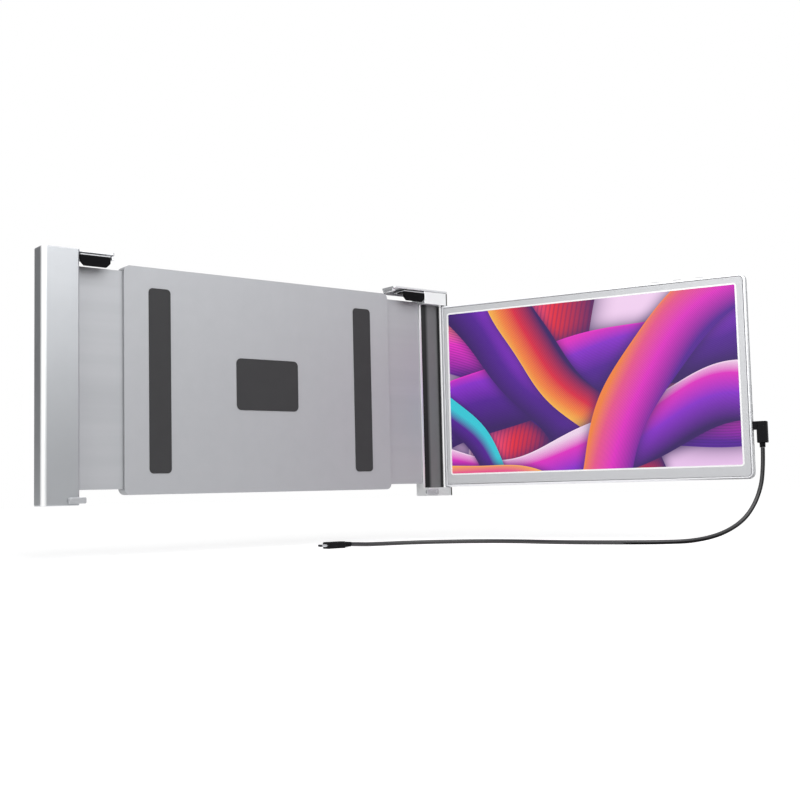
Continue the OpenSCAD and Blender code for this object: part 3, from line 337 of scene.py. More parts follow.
def newFinish(name):  # material and its shader
    mat = bpy.data.materials.new(name)
    mat.use_nodes = True
    return mat, mat.node_tree.nodes["Principled BSDF"]


def node(mat, kind, **settings):  # also for a world
    made = mat.node_tree.nodes.new(kind)
    for key, value in settings.items():
        setattr(made, key, value)
    return made


def feed(mat, socket, value):  # a socket takes a number, a colour or another node's output
    if isinstance(value, tuple):
        socket.default_value = (*value, 1)
    elif isinstance(value, (int, float)):
        socket.default_value = value
    else:
        mat.node_tree.links.new(value, socket)


def noiseAt(mat, coords, size, detail):  # noise whose features are about size mm
    made = node(mat, "ShaderNodeTexNoise")
    feed(mat, made.inputs["Scale"], 1 / (size * mm))
    feed(mat, made.inputs["Detail"], detail)
    feed(mat, made.inputs["Vector"], coords)
    return made.outputs["Fac"]


def mixed(mat, factor, under, over):
    made = node(mat, "ShaderNodeMix", data_type="RGBA")
    feed(mat, made.inputs["Factor"], factor)
    feed(mat, made.inputs["A"], under)
    feed(mat, made.inputs["B"], over)
    return made.outputs["Result"]


def rampOf(mat, factor, spots, colours):  # colours at their spots from 0 to 1
    ramp = node(mat, "ShaderNodeValToRGB")
    stops = ramp.color_ramp.elements
    while len(stops) < len(spots):
        stops.new(0.5)
    for stop, spot, colour in zip(stops, spots, colours):
        stop.position = spot
        stop.color = (*colour, 1)
    feed(mat, ramp.inputs["Fac"], factor)
    return ramp.outputs["Color"]


def banded(mat, coords, spots, inside, outside):  # soft-edged band between four spots along X
    split = node(mat, "ShaderNodeSeparateXYZ")
    feed(mat, split.inputs["Vector"], coords)
    low = spots[0] - noise["bandMargin"]
    high = spots[-1] + noise["bandMargin"]
    spread = node(mat, "ShaderNodeMapRange")
    feed(mat, spread.inputs["From Min"], low * mm)
    feed(mat, spread.inputs["From Max"], high * mm)
    feed(mat, spread.inputs["Value"], split.outputs["X"])
    shares = [(spot - low) / (high - low) for spot in spots]
    tones = [(tone,) * 3 for tone in (0, 1, 1, 0)]
    return mixed(mat, rampOf(mat, spread.outputs["Result"], shares, tones), outside, inside)


def finish(name, look):
    mat, shader = newFinish(name)
    coords = node(mat, "ShaderNodeTexCoord").outputs["Object"]
    if "stretch" in look:
        stretch = node(mat, "ShaderNodeMapping")
        stretch.inputs["Scale"].default_value = look["stretch"]
        feed(mat, stretch.inputs["Vector"], coords)
        coords = stretch.outputs["Vector"]
    slow = noiseAt(mat, coords, noise["slow"], noise["slowDetail"])
    fine = noiseAt(mat, coords, look["grain"], noise["fineDetail"])
    colour = mixed(mat, slow, look["base"], look["second"])
    if "band" in look:
        spots, outside = look["band"]
        colour = banded(mat, coords, spots, colour, outside)
    if "painted_highlight" in look:  # painted highlight down the upright edge between the faces to -X and -Y
        spots, bright = look["painted_highlight"]
        diagonal = node(mat, "ShaderNodeMapping")
        diagonal.inputs["Rotation"].default_value = (0, 0, math.radians(-45))
        feed(mat, diagonal.inputs["Vector"], coords)
        colour = banded(mat, diagonal.outputs["Vector"], spots, bright, colour)
    rough = node(mat, "ShaderNodeMapRange")
    feed(mat, rough.inputs["To Min"], look["roughness"][0])
    feed(mat, rough.inputs["To Max"], look["roughness"][1])
    feed(mat, rough.inputs["Value"], slow)
    bump = node(mat, "ShaderNodeBump")
    feed(mat, bump.inputs["Distance"], look["bump"] * noise["bumpHeight"] * mm)
    feed(mat, bump.inputs["Height"], fine)
    feed(mat, shader.inputs["Base Color"], colour)
    feed(mat, shader.inputs["Metallic"], look["metallic"])
    feed(mat, shader.inputs["Roughness"], rough.outputs["Result"])
    feed(mat, shader.inputs["Normal"], bump.outputs["Normal"])
    if "specular" in look:
        feed(mat, shader.inputs["Specular IOR Level"], look["specular"])
    return mat


slotOf = {row["node"]: row["material_slot"] for row in frame["record"]["subparts"]}
materials = {slot: finish(slot, look) for slot, look in finishes.items()}

picture = {
    "unit": 174.0,  # mm, the lit area's height
    "low": -88.7,  # mm, its bottom edge
    "glass": (0.01, 0.01, 0.012),  # the unlit screen
    "roughness": 0.4,
    "specular": 0.2,
    "ground": (0.78, 0.52, 0.80),
    "inks": {
        "night": (0.030, 0.004, 0.110),
        "indigo": (0.085, 0.006, 0.300),
        "violet": (0.260, 0.020, 0.620),
        "magenta": (0.800, 0.022, 0.560),
        "rose": (0.860, 0.090, 0.260),
        "red": (0.750, 0.018, 0.040),
        "orange": (0.950, 0.240, 0.035),
        "amber": (1.000, 0.480, 0.060),
        "cyan": (0.030, 0.620, 0.720),
        "pale": (0.940, 0.720, 0.900),
    },
    "fade": 0.5,  # how fast the ground turns pale upward
    "places": (0.0, 0.22, 0.55, 1.0),  # of a ribbon's four inks across it
    "twist": (5.0, 0.08),  # how often and how far the inks swing to and fro
    "lines": (0.8, 6.0, 0.42),  # spread, sharpness and strength of its fine lines
    "rim": (0.03, 0.85),  # width and strength of its bright edge
    "shade": (0.25, 2.0, 0.62),  # reach, falloff and strength of its shadow on what is under it
    # the lowest first, with lengths as shares of the lit height: angle, offset,
    # (height, pace, shift) of two waves, width, number of stripes, inks
    "ribbons": [
        (78, -0.22, (0.10, 1.9, 0.4), (0.03, 5.0, 1.0), 0.62, 26, "pale rose red night"),
        (-14, 0.98, (0.15, 2.3, 2.6), (0.03, 6.1, 0.3), 0.46, 34, "amber orange magenta indigo"),
        (24, 0.36, (0.16, 2.1, 0.9), (0.04, 4.7, 2.0), 0.40, 46, "magenta violet indigo night"),
        (-62, 0.86, (0.11, 3.0, 1.2), (0.03, 7.0, 0.0), 0.30, 40, "cyan violet indigo night"),
        (118, -0.86, (0.12, 2.7, 0.2), (0.02, 8.0, 1.4), 0.26, 30, "amber orange red night"),
        (8, 0.17, (0.13, 2.6, 3.3), (0.03, 6.5, 2.2), 0.34, 52, "pale magenta violet night"),
        (-38, 0.30, (0.12, 3.4, 2.4), (0.02, 9.0, 0.6), 0.17, 22, "cyan cyan indigo night"),
        (52, -0.62, (0.14, 2.9, 4.0), (0.03, 6.0, 3.0), 0.33, 44, "orange rose magenta indigo"),
        (-4, -0.02, (0.10, 3.1, 0.7), (0.02, 8.2, 2.9), 0.24, 36, "amber rose red night"),
    ],
}


def pictureCoords(mat):  # across and up from the hinge axis and the lit area's bottom, in its heights
    turn = math.radians(panel["angle"])
    scale = 1 / (picture["unit"] * mm)
    hinge = Vector((*panel["hinge"], picture["low"])) * mm
    flat = node(mat, "ShaderNodeMapping")
    flat.inputs["Rotation"].default_value = (0, 0, turn)
    flat.inputs["Scale"].default_value = (scale,) * 3
    flat.inputs["Location"].default_value = -scale * (Matrix.Rotation(turn, 3, "Z") @ hinge)
    feed(mat, flat.inputs["Vector"], node(mat, "ShaderNodeTexCoord").outputs["Object"])
    split = node(mat, "ShaderNodeSeparateXYZ")
    feed(mat, split.inputs["Vector"], flat.outputs["Vector"])
    return split.outputs["X"], split.outputs["Z"]


def screenPicture():  # crossing bands with bright edges, fine lines and soft shadows
    mat, shader = newFinish("screen_glass")
    ink = picture["inks"]
    swings, swingShare = picture["twist"]
    spread, sharpness, lineShare = picture["lines"]
    rimWidth, rimShare = picture["rim"]
    reach, falloff, shadeShare = picture["shade"]

    def calc(kind, *values, clamp=False):
        made = node(mat, "ShaderNodeMath", operation=kind, use_clamp=clamp)
        for socket, value in zip(made.inputs, values):
            feed(mat, socket, value)
        return made.outputs["Value"]

    across, up = pictureCoords(mat)
    rise = calc("MULTIPLY", up, picture["fade"], clamp=True)
    colour = mixed(mat, rise, picture["ground"], ink["pale"])
    for angle, offset, wave, ripple, width, stripes, inks in picture["ribbons"]:
        c = math.cos(math.radians(angle))
        s = math.sin(math.radians(angle))
        along = calc("ADD", calc("MULTIPLY", across, c), calc("MULTIPLY", up, s))
        side = calc("SUBTRACT", calc("MULTIPLY", up, c), calc("MULTIPLY", across, s))
        for height, pace, shift in (wave, ripple):
            swing = calc("SINE", calc("MULTIPLY_ADD", along, pace, shift))
            side = calc("MULTIPLY_ADD", swing, -height, side)
        edge = calc("DIVIDE", calc("SUBTRACT", offset, side), width)  # 0 at one edge, 1 at the other
        tones = [ink[name] for name in inks.split()]
        twist = calc("MULTIPLY_ADD", calc("SINE", calc("MULTIPLY", along, swings)), swingShare, edge)
        body = rampOf(mat, twist, picture["places"], tones)
        comb = calc("SINE", calc("MULTIPLY", calc("POWER", edge, spread), stripes * math.pi))
        lines = calc("MULTIPLY", calc("POWER", calc("ABSOLUTE", comb), sharpness), lineShare)
        body = mixed(mat, lines, body, ink["night"])
        rim = calc("SUBTRACT", 1.0, calc("DIVIDE", calc("ABSOLUTE", edge), rimWidth), clamp=True)
        body = mixed(mat, calc("MULTIPLY", rim, rimShare), body, tones[0])
        inside = calc("MULTIPLY", calc("GREATER_THAN", edge, 0.0), calc("LESS_THAN", edge, 1.0))
        before = calc("ADD", 1.0, calc("DIVIDE", edge, reach), clamp=True)
        after = calc("SUBTRACT", 1.0, calc("DIVIDE", calc("SUBTRACT", edge, 1.0), reach), clamp=True)
        near = calc("POWER", calc("MULTIPLY", before, after), falloff)
        shaded = mixed(mat, calc("MULTIPLY", near, shadeShare), colour, ink["night"])
        colour = mixed(mat, inside, shaded, body)
    feed(mat, shader.inputs["Base Color"], picture["glass"])
    feed(mat, shader.inputs["Roughness"], picture["roughness"])
    feed(mat, shader.inputs["Specular IOR Level"], picture["specular"])
    feed(mat, shader.inputs["Emission Strength"], 1.0)
    feed(mat, shader.inputs["Emission Color"], colour)
    return mat


materials["screen_glass"] = screenPicture()
print("materials ready:", len(materials))

faceWeight = 80  # of large faces against small ones in the shading, 50 is neutral


def settle(thing, *names):  # a piece takes the place, body, slot and finish of CAD nodes
    if names[0] != "cord":
        even = thing.modifiers.new("even shading", "WEIGHTED_NORMAL")  # keeps flat faces flat
        even.keep_sharp = True
        even.weight = faceWeight
    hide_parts(*names)
    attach(thing, bodyOf[names[0]])
    thing.data.materials.clear()
    thing.data.materials.append(materials[slotOf[names[0]]])
    return thing


# the left arm's tall end block, in mm
block = {
    "x": (-228.5, -195.0),
    "y": (-7.5, 14.5),
    "z": (-112.0, 112.0),
    "corners": (5.0, 1.5, 1.5, 5.0),  # radii: outer front, lid front, lid back, outer back
    "cap": 1.6,  # thickness of an end cap
    "seam": 0.08,  # radius of the edges where shell and caps meet
    "edge": 0.9,  # radius of the caps' outer edges
}


def makeLeftBlock():
    x, y, z = block["x"], block["y"], block["z"]
    corners, seam, edge = block["corners"], block["seam"], block["edge"]
    low = z[0] + block["cap"]
    high = z[1] - block["cap"]
    shell = softBlock("left_block_body", x, y, (low, high), corners, (seam, seam), "z")
    settle(shell, "left_block_shell")
    top = softBlock("cap_top", x, y, (high, z[1]), corners, (seam, edge), "z")
    bottom = softBlock("cap_bottom", x, y, (z[0], low), corners, (edge, seam), "z")
    settle(joined("left_block_end_caps", [top, bottom]), "left_block_caps")


# each clamp cover is a plate with a cheek at its inner end and a wall at its back
clamps = {
    "top": 112.0,  # z
    "wallLow": 105.3,
    "wall": 2.0,  # thickness
    "inset": 2.6,  # of the cheeks from the plate's front and back
    "sunk": 0.3,  # how far cheek and wall reach into their plate
    "plateEdge": 0.4,  # radii
    "thinEdge": 0.3,
    # x of the three, z where plate and cheek begin, the plate's corner radii
    "sides": {
        "left": {"plate": (-195.0, -162.0), "cheek": (-164.0, -162.0), "wall": (-194.4, -164.6),
                 "plateLow": 109.4, "cheekLow": 105.3, "corners": (0.3, 2, 2, 0.3)},
        "right": {"plate": (153.3, 227.5), "cheek": (153.3, 157.0), "wall": (155.9, 195.0),
                  "plateLow": 109.75, "cheekLow": 107.0, "corners": (2, 1.5, 1.5, 2)},
    },
}


def makeClampCovers():
    front, back = block["y"]
    cheekDepth = (front + clamps["inset"], back - clamps["inset"])
    wallDepth = (back - clamps["wall"], back)
    ends = (clamps["plateEdge"],) * 2
    thin = (clamps["thinEdge"],) * 4
    for side, row in clamps["sides"].items():
        low = row["plateLow"]
        root = low + clamps["sunk"]
        pieces = [
            softBlock("plate", row["plate"], block["y"], (low, clamps["top"]), row["corners"], ends, "z"),
            softBlock("cheek", row["cheek"], cheekDepth, (row["cheekLow"], root), thin, thin[:2], "z"),
            softBlock("wall", row["wall"], wallDepth, (clamps["wallLow"], root), thin, thin[:2], "z"),
        ]
        settle(joined(side + "_clamp_top", pieces), side + "_clamp_cover")


# the small bar at a lower corner of the lid, on the right side; the left one mirrors it
latch = {
    "x": (190.0, 206.0),
    "y": (-10.2, -7.65),
    "z": (-110.5, -105.1),
    "corner": 1.2,  # radii
    "edge": 0.5,
    "pivot": (203.3, -107.8),  # x and z of its rivet
    "head": 1.9,  # radius
    "headFront": -10.8,  # y
    "headEdge": 0.25,
    "stem": 1.2,
    "stemY": (-10.4, -6.0),
}
rodFlat = 0.05  # mm, half of the flat between two corners of a rod


def rod(name, middle, radius, depth, edges, place):  # round bar
    across, up = [(m - radius, m + radius) for m in middle]
    return softBlock(name, across, up, depth, (radius - rodFlat,) * 4, edges, place)


def makeLatches():
    corners = (latch["corner"],) * 4
    ends = (latch["edge"],) * 2
    front = latch["y"][0]
    for side, sign in (("left", -1), ("right", 1)):
        x = sorted(sign * end for end in latch["x"])
        bar = softBlock(side + "_latch_bar", x, latch["z"], latch["y"], corners, ends, "y")
        settle(bar, side + "_latch")
        pivot = (sign * latch["pivot"][0], latch["pivot"][1])
        headDepth = (latch["headFront"], front)
        head = rod("head", pivot, latch["head"], headDepth, (latch["headEdge"], 0), "y")
        stem = rod("stem", pivot, latch["stem"], latch["stemY"], (0, 0), "y")
        settle(joined(side + "_latch_rivet", [head, stem]), side + "_latch_pin")


# sizes on the panel: u runs from the hinge to its far edge, v from its front to its back, in mm
panel.update({
    "u": (-3.5, 326.6),
    "v": (-3.4, 4.6),
    "z": (-102.7, 95.6),
    "corners": (1.5, 6.5, 6.5, 1.5),  # radii, far side round
    "hingeRound": 4.0,  # radius of the front edge beside the hinge
    "hingeRings": (0.6, -0.1, -0.8, -1.4),  # v of the rings round it
    "frontRound": 1.6,  # radius of the rim's outer edge
    "rim": 2.35,  # width of the frame's front rim
    "hingeRim": 4.65,  # the same beside the hinge
    "rimDepth": 0.9,
    "rimEdge": ((0, 0.25), (0.08, 0.07), (0.3, 0)),  # depth behind its front, back from its edge
    "wall": 1.0,
    "frameBack": 1.8,  # v where frame and cover meet
    "chamfer": 0.12,  # there
    "coverGap": 0.04,
    "coverFace": 3.0,  # inset of the cover's inner face
    "coverRound": (1.5, 1.9),  # its back edge: depth and inset
    "litU": (6.9, 316.3),
    "litZ": (-88.7, 85.3),
    "cellMargin": 3.0,  # of the display cell around the lit area
    "cellCorner": 0.5,
    "cellV": (-2.5, -1.5),
    "gap": 0.5,  # between the rim and the bezel
    "bezelCorners": (0.4, 3.6, 3.6, 0.4),
    "bezelV": (-3.3, -2.5),
    "border": 1.6,  # width of the white border around the lit area
    "borderV": (-3.34, -2.5),
    "windowCorner": 1.4,  # less the border
    "litCorner": 1.6,
    "sockets": ((-51.9, 9.2), (-36.0, 9.2), (-18.0, 11.4)),  # z and length of each opening
    "socketV": (-0.9, 2.5),
    "socketU": (322.0, 328.0),
    "buttons": (238.0, 260.0, 282.0),  # u of each opening
    "buttonReach": 4.1,  # half of its length
    "buttonV": (-1.3, 1.3),
    "buttonZ": (93.0, 98.0),
    "openingCorner": 1.25,
})
roundRings = 7  # steps around the panel's rounded edges


def grown(span, by):
    return (span[0] - by, span[1] + by)


def hingeInset(v):  # how far the rounded edge beside the hinge has drawn in at depth v
    r = panel["hingeRound"]
    before = max(0.0, panel["v"][0] + r - v)
    return r - math.sqrt(r * r - before * before)


def socketCutters():
    corners = (panel["openingCorner"],) * 4
    cuts = []
    for z, long in panel["sockets"]:
        span = (z - long / 2, z + long / 2)
        cuts.append(softBlock("cut", panel["socketV"], span, panel["socketU"], corners, (0, 0), "panelAlong"))
    return cuts


def buttonCutters():
    corners = (panel["openingCorner"],) * 4
    cuts = []
    for middle in panel["buttons"]:
        u = (middle - panel["buttonReach"], middle + panel["buttonReach"])
        cuts.append(softBlock("cut", u, panel["buttonV"], panel["buttonZ"], corners, (0, 0), "panelUp"))
    return cuts


def makePanelFrame():  # profile: v, inset, inset beside the hinge
    front = panel["v"][0]
    back = panel["frameBack"]
    chamfer = panel["chamfer"]
    r = panel["frontRound"]
    rim = panel["rim"]
    hingeRim = panel["hingeRim"]
    inner = front + panel["rimDepth"]
    wall = panel["wall"]
    profile = [(back, chamfer, chamfer), (back - chamfer, 0, 0)]
    profile += [(v, 0, hingeInset(v)) for v in panel["hingeRings"]]
    profile += [(v, inset, hingeInset(v)) for v, inset in arc(front + r, r, r, 180, 270, roundRings)]
    profile += [(front + deep, rim - short, hingeRim - short) for deep, short in panel["rimEdge"]]
    profile += [(inner, rim, hingeRim), (inner, wall, wall), (back, wall, wall)]
    rings = []
    for v, inset, hinge in profile:
        rings.append((outline(panel["u"], panel["z"], panel["corners"], inset, hinge), v))
    shell = loft("panel_side_frame", rings, "panel", closed=True)
    cutOut(shell, joined("cutter", socketCutters() + buttonCutters()))
    settle(shell, "panel_frame")


def makePanelCover():  # profile: v, inset
    back = panel["v"][1]
    seam = panel["frameBack"] + panel["coverGap"]
    chamfer = panel["chamfer"]
    deep, wide = panel["coverRound"]
    profile = [(seam, panel["coverFace"]), (seam, chamfer), (seam + chamfer, 0)]
    for ring in range(roundRings + 1):
        angle = math.radians(90 * ring / roundRings)
        profile.append((back - deep + deep * math.sin(angle), wide - wide * math.cos(angle)))
    rings = [(outline(panel["u"], panel["z"], panel["corners"], inset), v) for v, inset in profile]
    cover = loft("panel_back_cover", rings, "panel")
    cutOut(cover, joined("cutter", socketCutters()))
    settle(cover, "panel_rear_cover")


def windowRing(name, v, inner, outer):  # flat ring between two outlines
    rings = [(outer, v[1]), (outer, v[0]), (inner, v[0]), (inner, v[1])]
    return loft(name, rings, "panel", closed=True)


def makeBezel():
    inset = panel["rim"] + panel["gap"]
    u = (panel["u"][0] + panel["hingeRim"] + panel["gap"], panel["u"][1] - inset)
    z = grown(panel["z"], -inset)
    whole = outline(u, z, panel["bezelCorners"])
    window = outline(panel["litU"], panel["litZ"], (panel["windowCorner"],) * 4, -panel["border"])
    lit = outline(panel["litU"], panel["litZ"], (panel["litCorner"],) * 4)
    settle(windowRing("bezel_sheet", panel["bezelV"], window, whole), "front_bezel")
    settle(windowRing("window_border", panel["borderV"], lit, window), "screen_border")


def makeCell():
    u = grown(panel["litU"], panel["cellMargin"])
    z = grown(panel["litZ"], panel["cellMargin"])
    corners = (panel["cellCorner"],) * 4
    settle(softBlock("display_cell", u, z, panel["cellV"], corners, (0, 0), "panel"), "lcd_cell")


# at: (across, up) of each screw; shaft and head: radii; sink: depth of the head's cone
screws = {
    "cover_screws": {"at": [(-135, 100.75), (0, 100.75), (135, 100.75), (-135, -100.75), (135, -100.75)],
                     "shaft": 1.0, "head": 2.0, "sink": 1.0, "onPanel": False},
    "right_screws": {"at": [(205, -81), (205, -27), (205, 27), (205, 81), (202, -107.65),
                            (220.5, -107.65), (202, 102.8), (220.5, 102.8)],
                     "shaft": 1.25, "head": 2.5, "sink": 1.25, "onPanel": False},
    "panel_screws": {"at": [(30, -97.3), (161.55, -97.3), (293.1, -97.3), (63.5, 91.8),
                            (161.55, 91.8), (322.6, 58.3), (322.6, -85.3)],
                     "shaft": 1.0, "head": 1.85, "sink": 0.8, "onPanel": True},
}
screwShape = {
    "drive": 0.5,  # mm, depth of the cross
    "reach": 0.62,  # of the cross, a share of the head's radius
    "half": 0.14,  # of an arm's width, likewise
    "tip": 0.15,  # mm, chamfer of the shaft's end
    "edge": ((0.06, 0.1), (0.14, 0.0)),  # mm, inset and depth of the two rings round the head
}


def crossRing(reach, half):  # plus shape of 24 points
    middle = (reach + half) / 2
    quarter = [(reach, 0), (reach, half), (middle, half), (half, half), (half, middle), (half, reach)]
    points = []
    for turn in range(4):
        points += quarter
        quarter = [(-b, a) for a, b in quarter]
    return points


def circleRing(radius, middle=(0, 0)):
    turns = [2 * math.pi * k / roundSides for k in range(roundSides)]
    return [(middle[0] + radius * math.cos(a), middle[1] + radius * math.sin(a)) for a in turns]


def crossScrew(shaft, head, sink, start, end):  # countersunk, along Y, its head at the end
    cross = crossRing(head * screwShape["reach"], head * screwShape["half"])
    tip = screwShape["tip"]
    rings = [(circleRing(shaft - tip), start), (circleRing(shaft), start + tip)]
    rings.append((circleRing(shaft), end - sink))
    rings += [(circleRing(head - inset), end - depth) for inset, depth in screwShape["edge"]]
    rings += [(cross, end), (cross, end - screwShape["drive"])]
    return loft("screw_shape", rings, "y")


def scatterGroup():  # puts a shape on each point of a mesh, turned by its own amount
    group = bpy.data.node_groups.new("scatter", "GeometryNodeTree")
    inputs = {"Points": "Geometry", "Shape": "Object", "Size": "Float", "Most turn": "Vector",
              "Seed": "Int", "Finish": "Material"}
    for name, kind in inputs.items():
        group.interface.new_socket(name, in_out="INPUT", socket_type="NodeSocket" + kind)
    group.interface.new_socket("Result", in_out="OUTPUT", socket_type="NodeSocketGeometry")
    start = group.nodes.new("NodeGroupInput")
    shape = group.nodes.new("GeometryNodeObjectInfo")
    shape.transform_space = "ORIGINAL"
    turns = group.nodes.new("FunctionNodeRandomValue")
    turns.data_type = "FLOAT_VECTOR"
    turns.inputs["Min"].default_value = (0, 0, 0)
    copies = group.nodes.new("GeometryNodeInstanceOnPoints")
    real = group.nodes.new("GeometryNodeRealizeInstances")
    paint = group.nodes.new("GeometryNodeSetMaterial")
    end = group.nodes.new("NodeGroupOutput")
    join = group.links.new
    join(start.outputs["Points"], copies.inputs["Points"])
    join(start.outputs["Shape"], shape.inputs["Object"])
    join(shape.outputs["Geometry"], copies.inputs["Instance"])
    join(start.outputs["Size"], copies.inputs["Scale"])
    join(start.outputs["Most turn"], turns.inputs["Max"])
    join(start.outputs["Seed"], turns.inputs["Seed"])
    join(turns.outputs["Value"], copies.inputs["Rotation"])
    join(copies.outputs["Instances"], real.inputs["Geometry"])
    join(real.outputs["Geometry"], paint.inputs["Geometry"])
    join(start.outputs["Finish"], paint.inputs["Material"])
    join(paint.outputs["Geometry"], end.inputs["Result"])
    return group


def scattered(name, group, points, shape, mat):  # one mesh with the shape at each point, turned about Y
    mesh = bpy.data.meshes.new(name)
    mesh.from_pydata([Vector(p) * mm for p in points], [], [])
    thing = inScene(name, mesh)
    spread = thing.modifiers.new("scatter", "NODES")
    spread.node_group = group
    sockets = {item.name: item.identifier for item in group.interface.items_tree}
    spread[sockets["Shape"]] = shape
    spread[sockets["Size"]] = 1.0
    spread[sockets["Most turn"]] = (0, math.pi / 2, 0)
    spread[sockets["Seed"]] = len(points)
    spread[sockets["Finish"]] = mat
    bpy.context.view_layer.update()
    applied(thing)
    bpy.data.objects.remove(shape)
    return thing


def makeScrews():
    group = scatterGroup()
    turn = Matrix.Rotation(math.radians(-panel["angle"]), 4, "Z")
    toPanel = Matrix.Translation(Vector((*panel["hinge"], 0)) * mm) @ turn
    for name, row in screws.items():
        spots = [v.co for v in nodes[name].data.vertices]
        if row["onPanel"]:
            spots = [toPanel.inverted() @ spot for spot in spots]
        depth = [spot.y / mm for spot in spots]
        shape = crossScrew(row["shaft"], row["head"], row["sink"], min(depth), max(depth))
        points = [(across, 0, up) for across, up in row["at"]]
        mat = materials[slotOf[name]]
        thing = scattered("cross_" + name, group, points, shape, mat)
        if row["onPanel"]:
            thing.data.transform(toPanel)
        settle(thing, name)


cord = {
    "diameter": 4.0,  # mm
    "sides": 16,
    "step": 3.0,  # between rings
    "turn": 178.0,  # the far plug's direction from +X
    # from the angled plug down to the surface and back there in one S
    "route": [
        (355.5, -312.2, -73), (355.3, -312, -82), (354.6, -311.6, -93), (353, -310.8, -105),
        (349.6, -309.4, -116), (344, -307.6, -126.5), (336, -305.4, -136), (326.6, -303.2, -143),
        (316, -301, -148.2), (304.6, -299, -152), (292.6, -297, -154.7), (280.4, -294.4, -156.5),
        (268.4, -290.8, -157.6), (257, -285.6, -158), (246.6, -278.6, -158), (237.6, -269.6, -158),
        (226.4, -250, -158), (216.2, -227, -158), (207, -200, -158), (202, -171, -158),
        (199, -141, -158), (191, -112, -158), (176, -86, -158), (155, -65, -158),
        (132, -50, -158), (110, -43, -158), (90, -39.4, -157.8), (76, -38.4, -157.2),
        (68, -38.2, -156.75),
    ],
}
curveSteps = 40  # between two points of the route, before it is cut into even steps


def smoothPath(points, step):  # Catmull-Rom curve through the points, in even steps
    p = [Vector(q) for q in points]
    p = [2 * p[0] - p[1]] + p + [2 * p[-1] - p[-2]]
    fine = []
    for i in range(1, len(p) - 2):
        for k in range(curveSteps):
            t = k / curveSteps
            a = 2 * p[i]
            b = p[i + 1] - p[i - 1]
            c = 2 * p[i - 1] - 5 * p[i] + 4 * p[i + 1] - p[i + 2]
            d = 3 * p[i] - p[i - 1] - 3 * p[i + 1] + p[i + 2]
            fine.append((a + b * t + c * t * t + d * t * t * t) / 2)
    fine.append(p[-2])
    length = sum((b - a).length for a, b in zip(fine, fine[1:]))
    count = max(2, round(length / step))
    path = [fine[0]]
    walked = 0.0
    for a, b in zip(fine, fine[1:]):
        walked += (b - a).length
        while len(path) < count and walked >= len(path) * length / count:
            path.append(b.copy())
    path.append(fine[-1])
    return path, length


def tubeAlong(name, path, radius, sides):  # round tube whose rings don't twist
    verts = []
    side = Vector((0, 1, 0))
    for i, point in enumerate(path):
        ahead = (path[min(i + 1, len(path) - 1)] - path[max(i - 1, 0)]).normalized()
        side = (side - ahead * side.dot(ahead)).normalized()
        up = ahead.cross(side)
        for k in range(sides):
            angle = 2 * math.pi * k / sides
            verts.append(point + radius * (side * math.cos(angle) + up * math.sin(angle)))
    faces = []
    for i in range(len(path) - 1):
        for k in range(sides):
            j = (k + 1) % sides
            low = i * sides
            faces.append((low + k, low + j, low + sides + j, low + sides + k))
    faces.append(tuple(range(sides)))
    faces.append(tuple(range((len(path) - 1) * sides, len(path) * sides)))
    return newObject(name, verts, faces)


def atFarPlug(thing):  # from a plug along +X at the origin to where the far one lies
    place = Matrix.Translation(Vector(cord["route"][-1]) * mm)
    thing.data.transform(place @ Matrix.Rotation(math.radians(cord["turn"]), 4, "Z"))
    return thing


plugs = {
    "u": (330.2, 339.8),  # the angled plug's body on the panel
    "z": (-68.5, -47.9),
    "corners": (0.7, 0.7, 1.0, 0.7),  # radii
    "collarU": (326.7, 332.0),
    "collarZ": (-55.9, -47.9),
    "v": (-2.7, 4.3),
    "edge": 0.6,  # radius of all the rounded ends
    "nearRelief": ((-72.9, -68.4), (2.75, 2.9)),  # its two ends and radii
    "nearMiddle": (334.55, 0.8),
    "farRelief": ((0.15, 9.0), (2.3, 2.9)),
    "farBody": ((-5.5, 5.5), (-3.25, 3.25), (9.0, 29.0)),  # across, up and along
    "farCorner": 2.0,
    "ribs": 4,  # of a relief
    "ribDepth": 0.35,
    # share of a rib's length, and 1 in the groove
    "rib": ((0.08, 0), (0.62, 0), (0.7, 1), (0.96, 1)),
}


def makeRelief(name, ends, radii, place, middle=(0, 0)):  # ribbed sleeve, wider toward its plug
    start, end = ends
    thin, thick = radii
    rings = []
    for rib in range(plugs["ribs"]):
        for share, groove in plugs["rib"]:
            t = (rib + share) / plugs["ribs"]
            radius = thin + (thick - thin) * t - groove * plugs["ribDepth"]
            rings.append((circleRing(radius, middle), start + (end - start) * t))
    rings.append((circleRing(thick, middle), end))
    return loft(name, rings, place)


def makeCord():
    path, length = smoothPath(cord["route"], cord["step"])
    tube = tubeAlong("cord_jacket", path, cord["diameter"] / 2, cord["sides"])
    settle(tube, "cord")
    edge = (plugs["edge"],) * 4
    body = softBlock("body", plugs["u"], plugs["z"], plugs["v"], plugs["corners"], edge[:2], "panel")
    collar = softBlock("collar", plugs["collarU"], plugs["collarZ"], plugs["v"], edge, edge[:2], "panel")
    plug = settle(joined("angle_plug", [body, collar]), "right_angle_plug")
    near = makeRelief("near", *plugs["nearRelief"], "panelUp", plugs["nearMiddle"])
    far = atFarPlug(makeRelief("far", *plugs["farRelief"], "x"))
    reliefs = settle(joined("cord_reliefs", [near, far]), "strain_reliefs")
    corners = (plugs["farCorner"],) * 4
    far = atFarPlug(softBlock("far_plug_body", *plugs["farBody"], corners, edge[:2], "x"))
    farPlug = settle(far, "far_plug")
    print("cord: %.1f mm" % length)


makeCord()
makeLeftBlock()
makeClampCovers()
makeLatches()
makePanelFrame()
makePanelCover()
makeBezel()
makeCell()
makeScrews()
print("main pieces made")

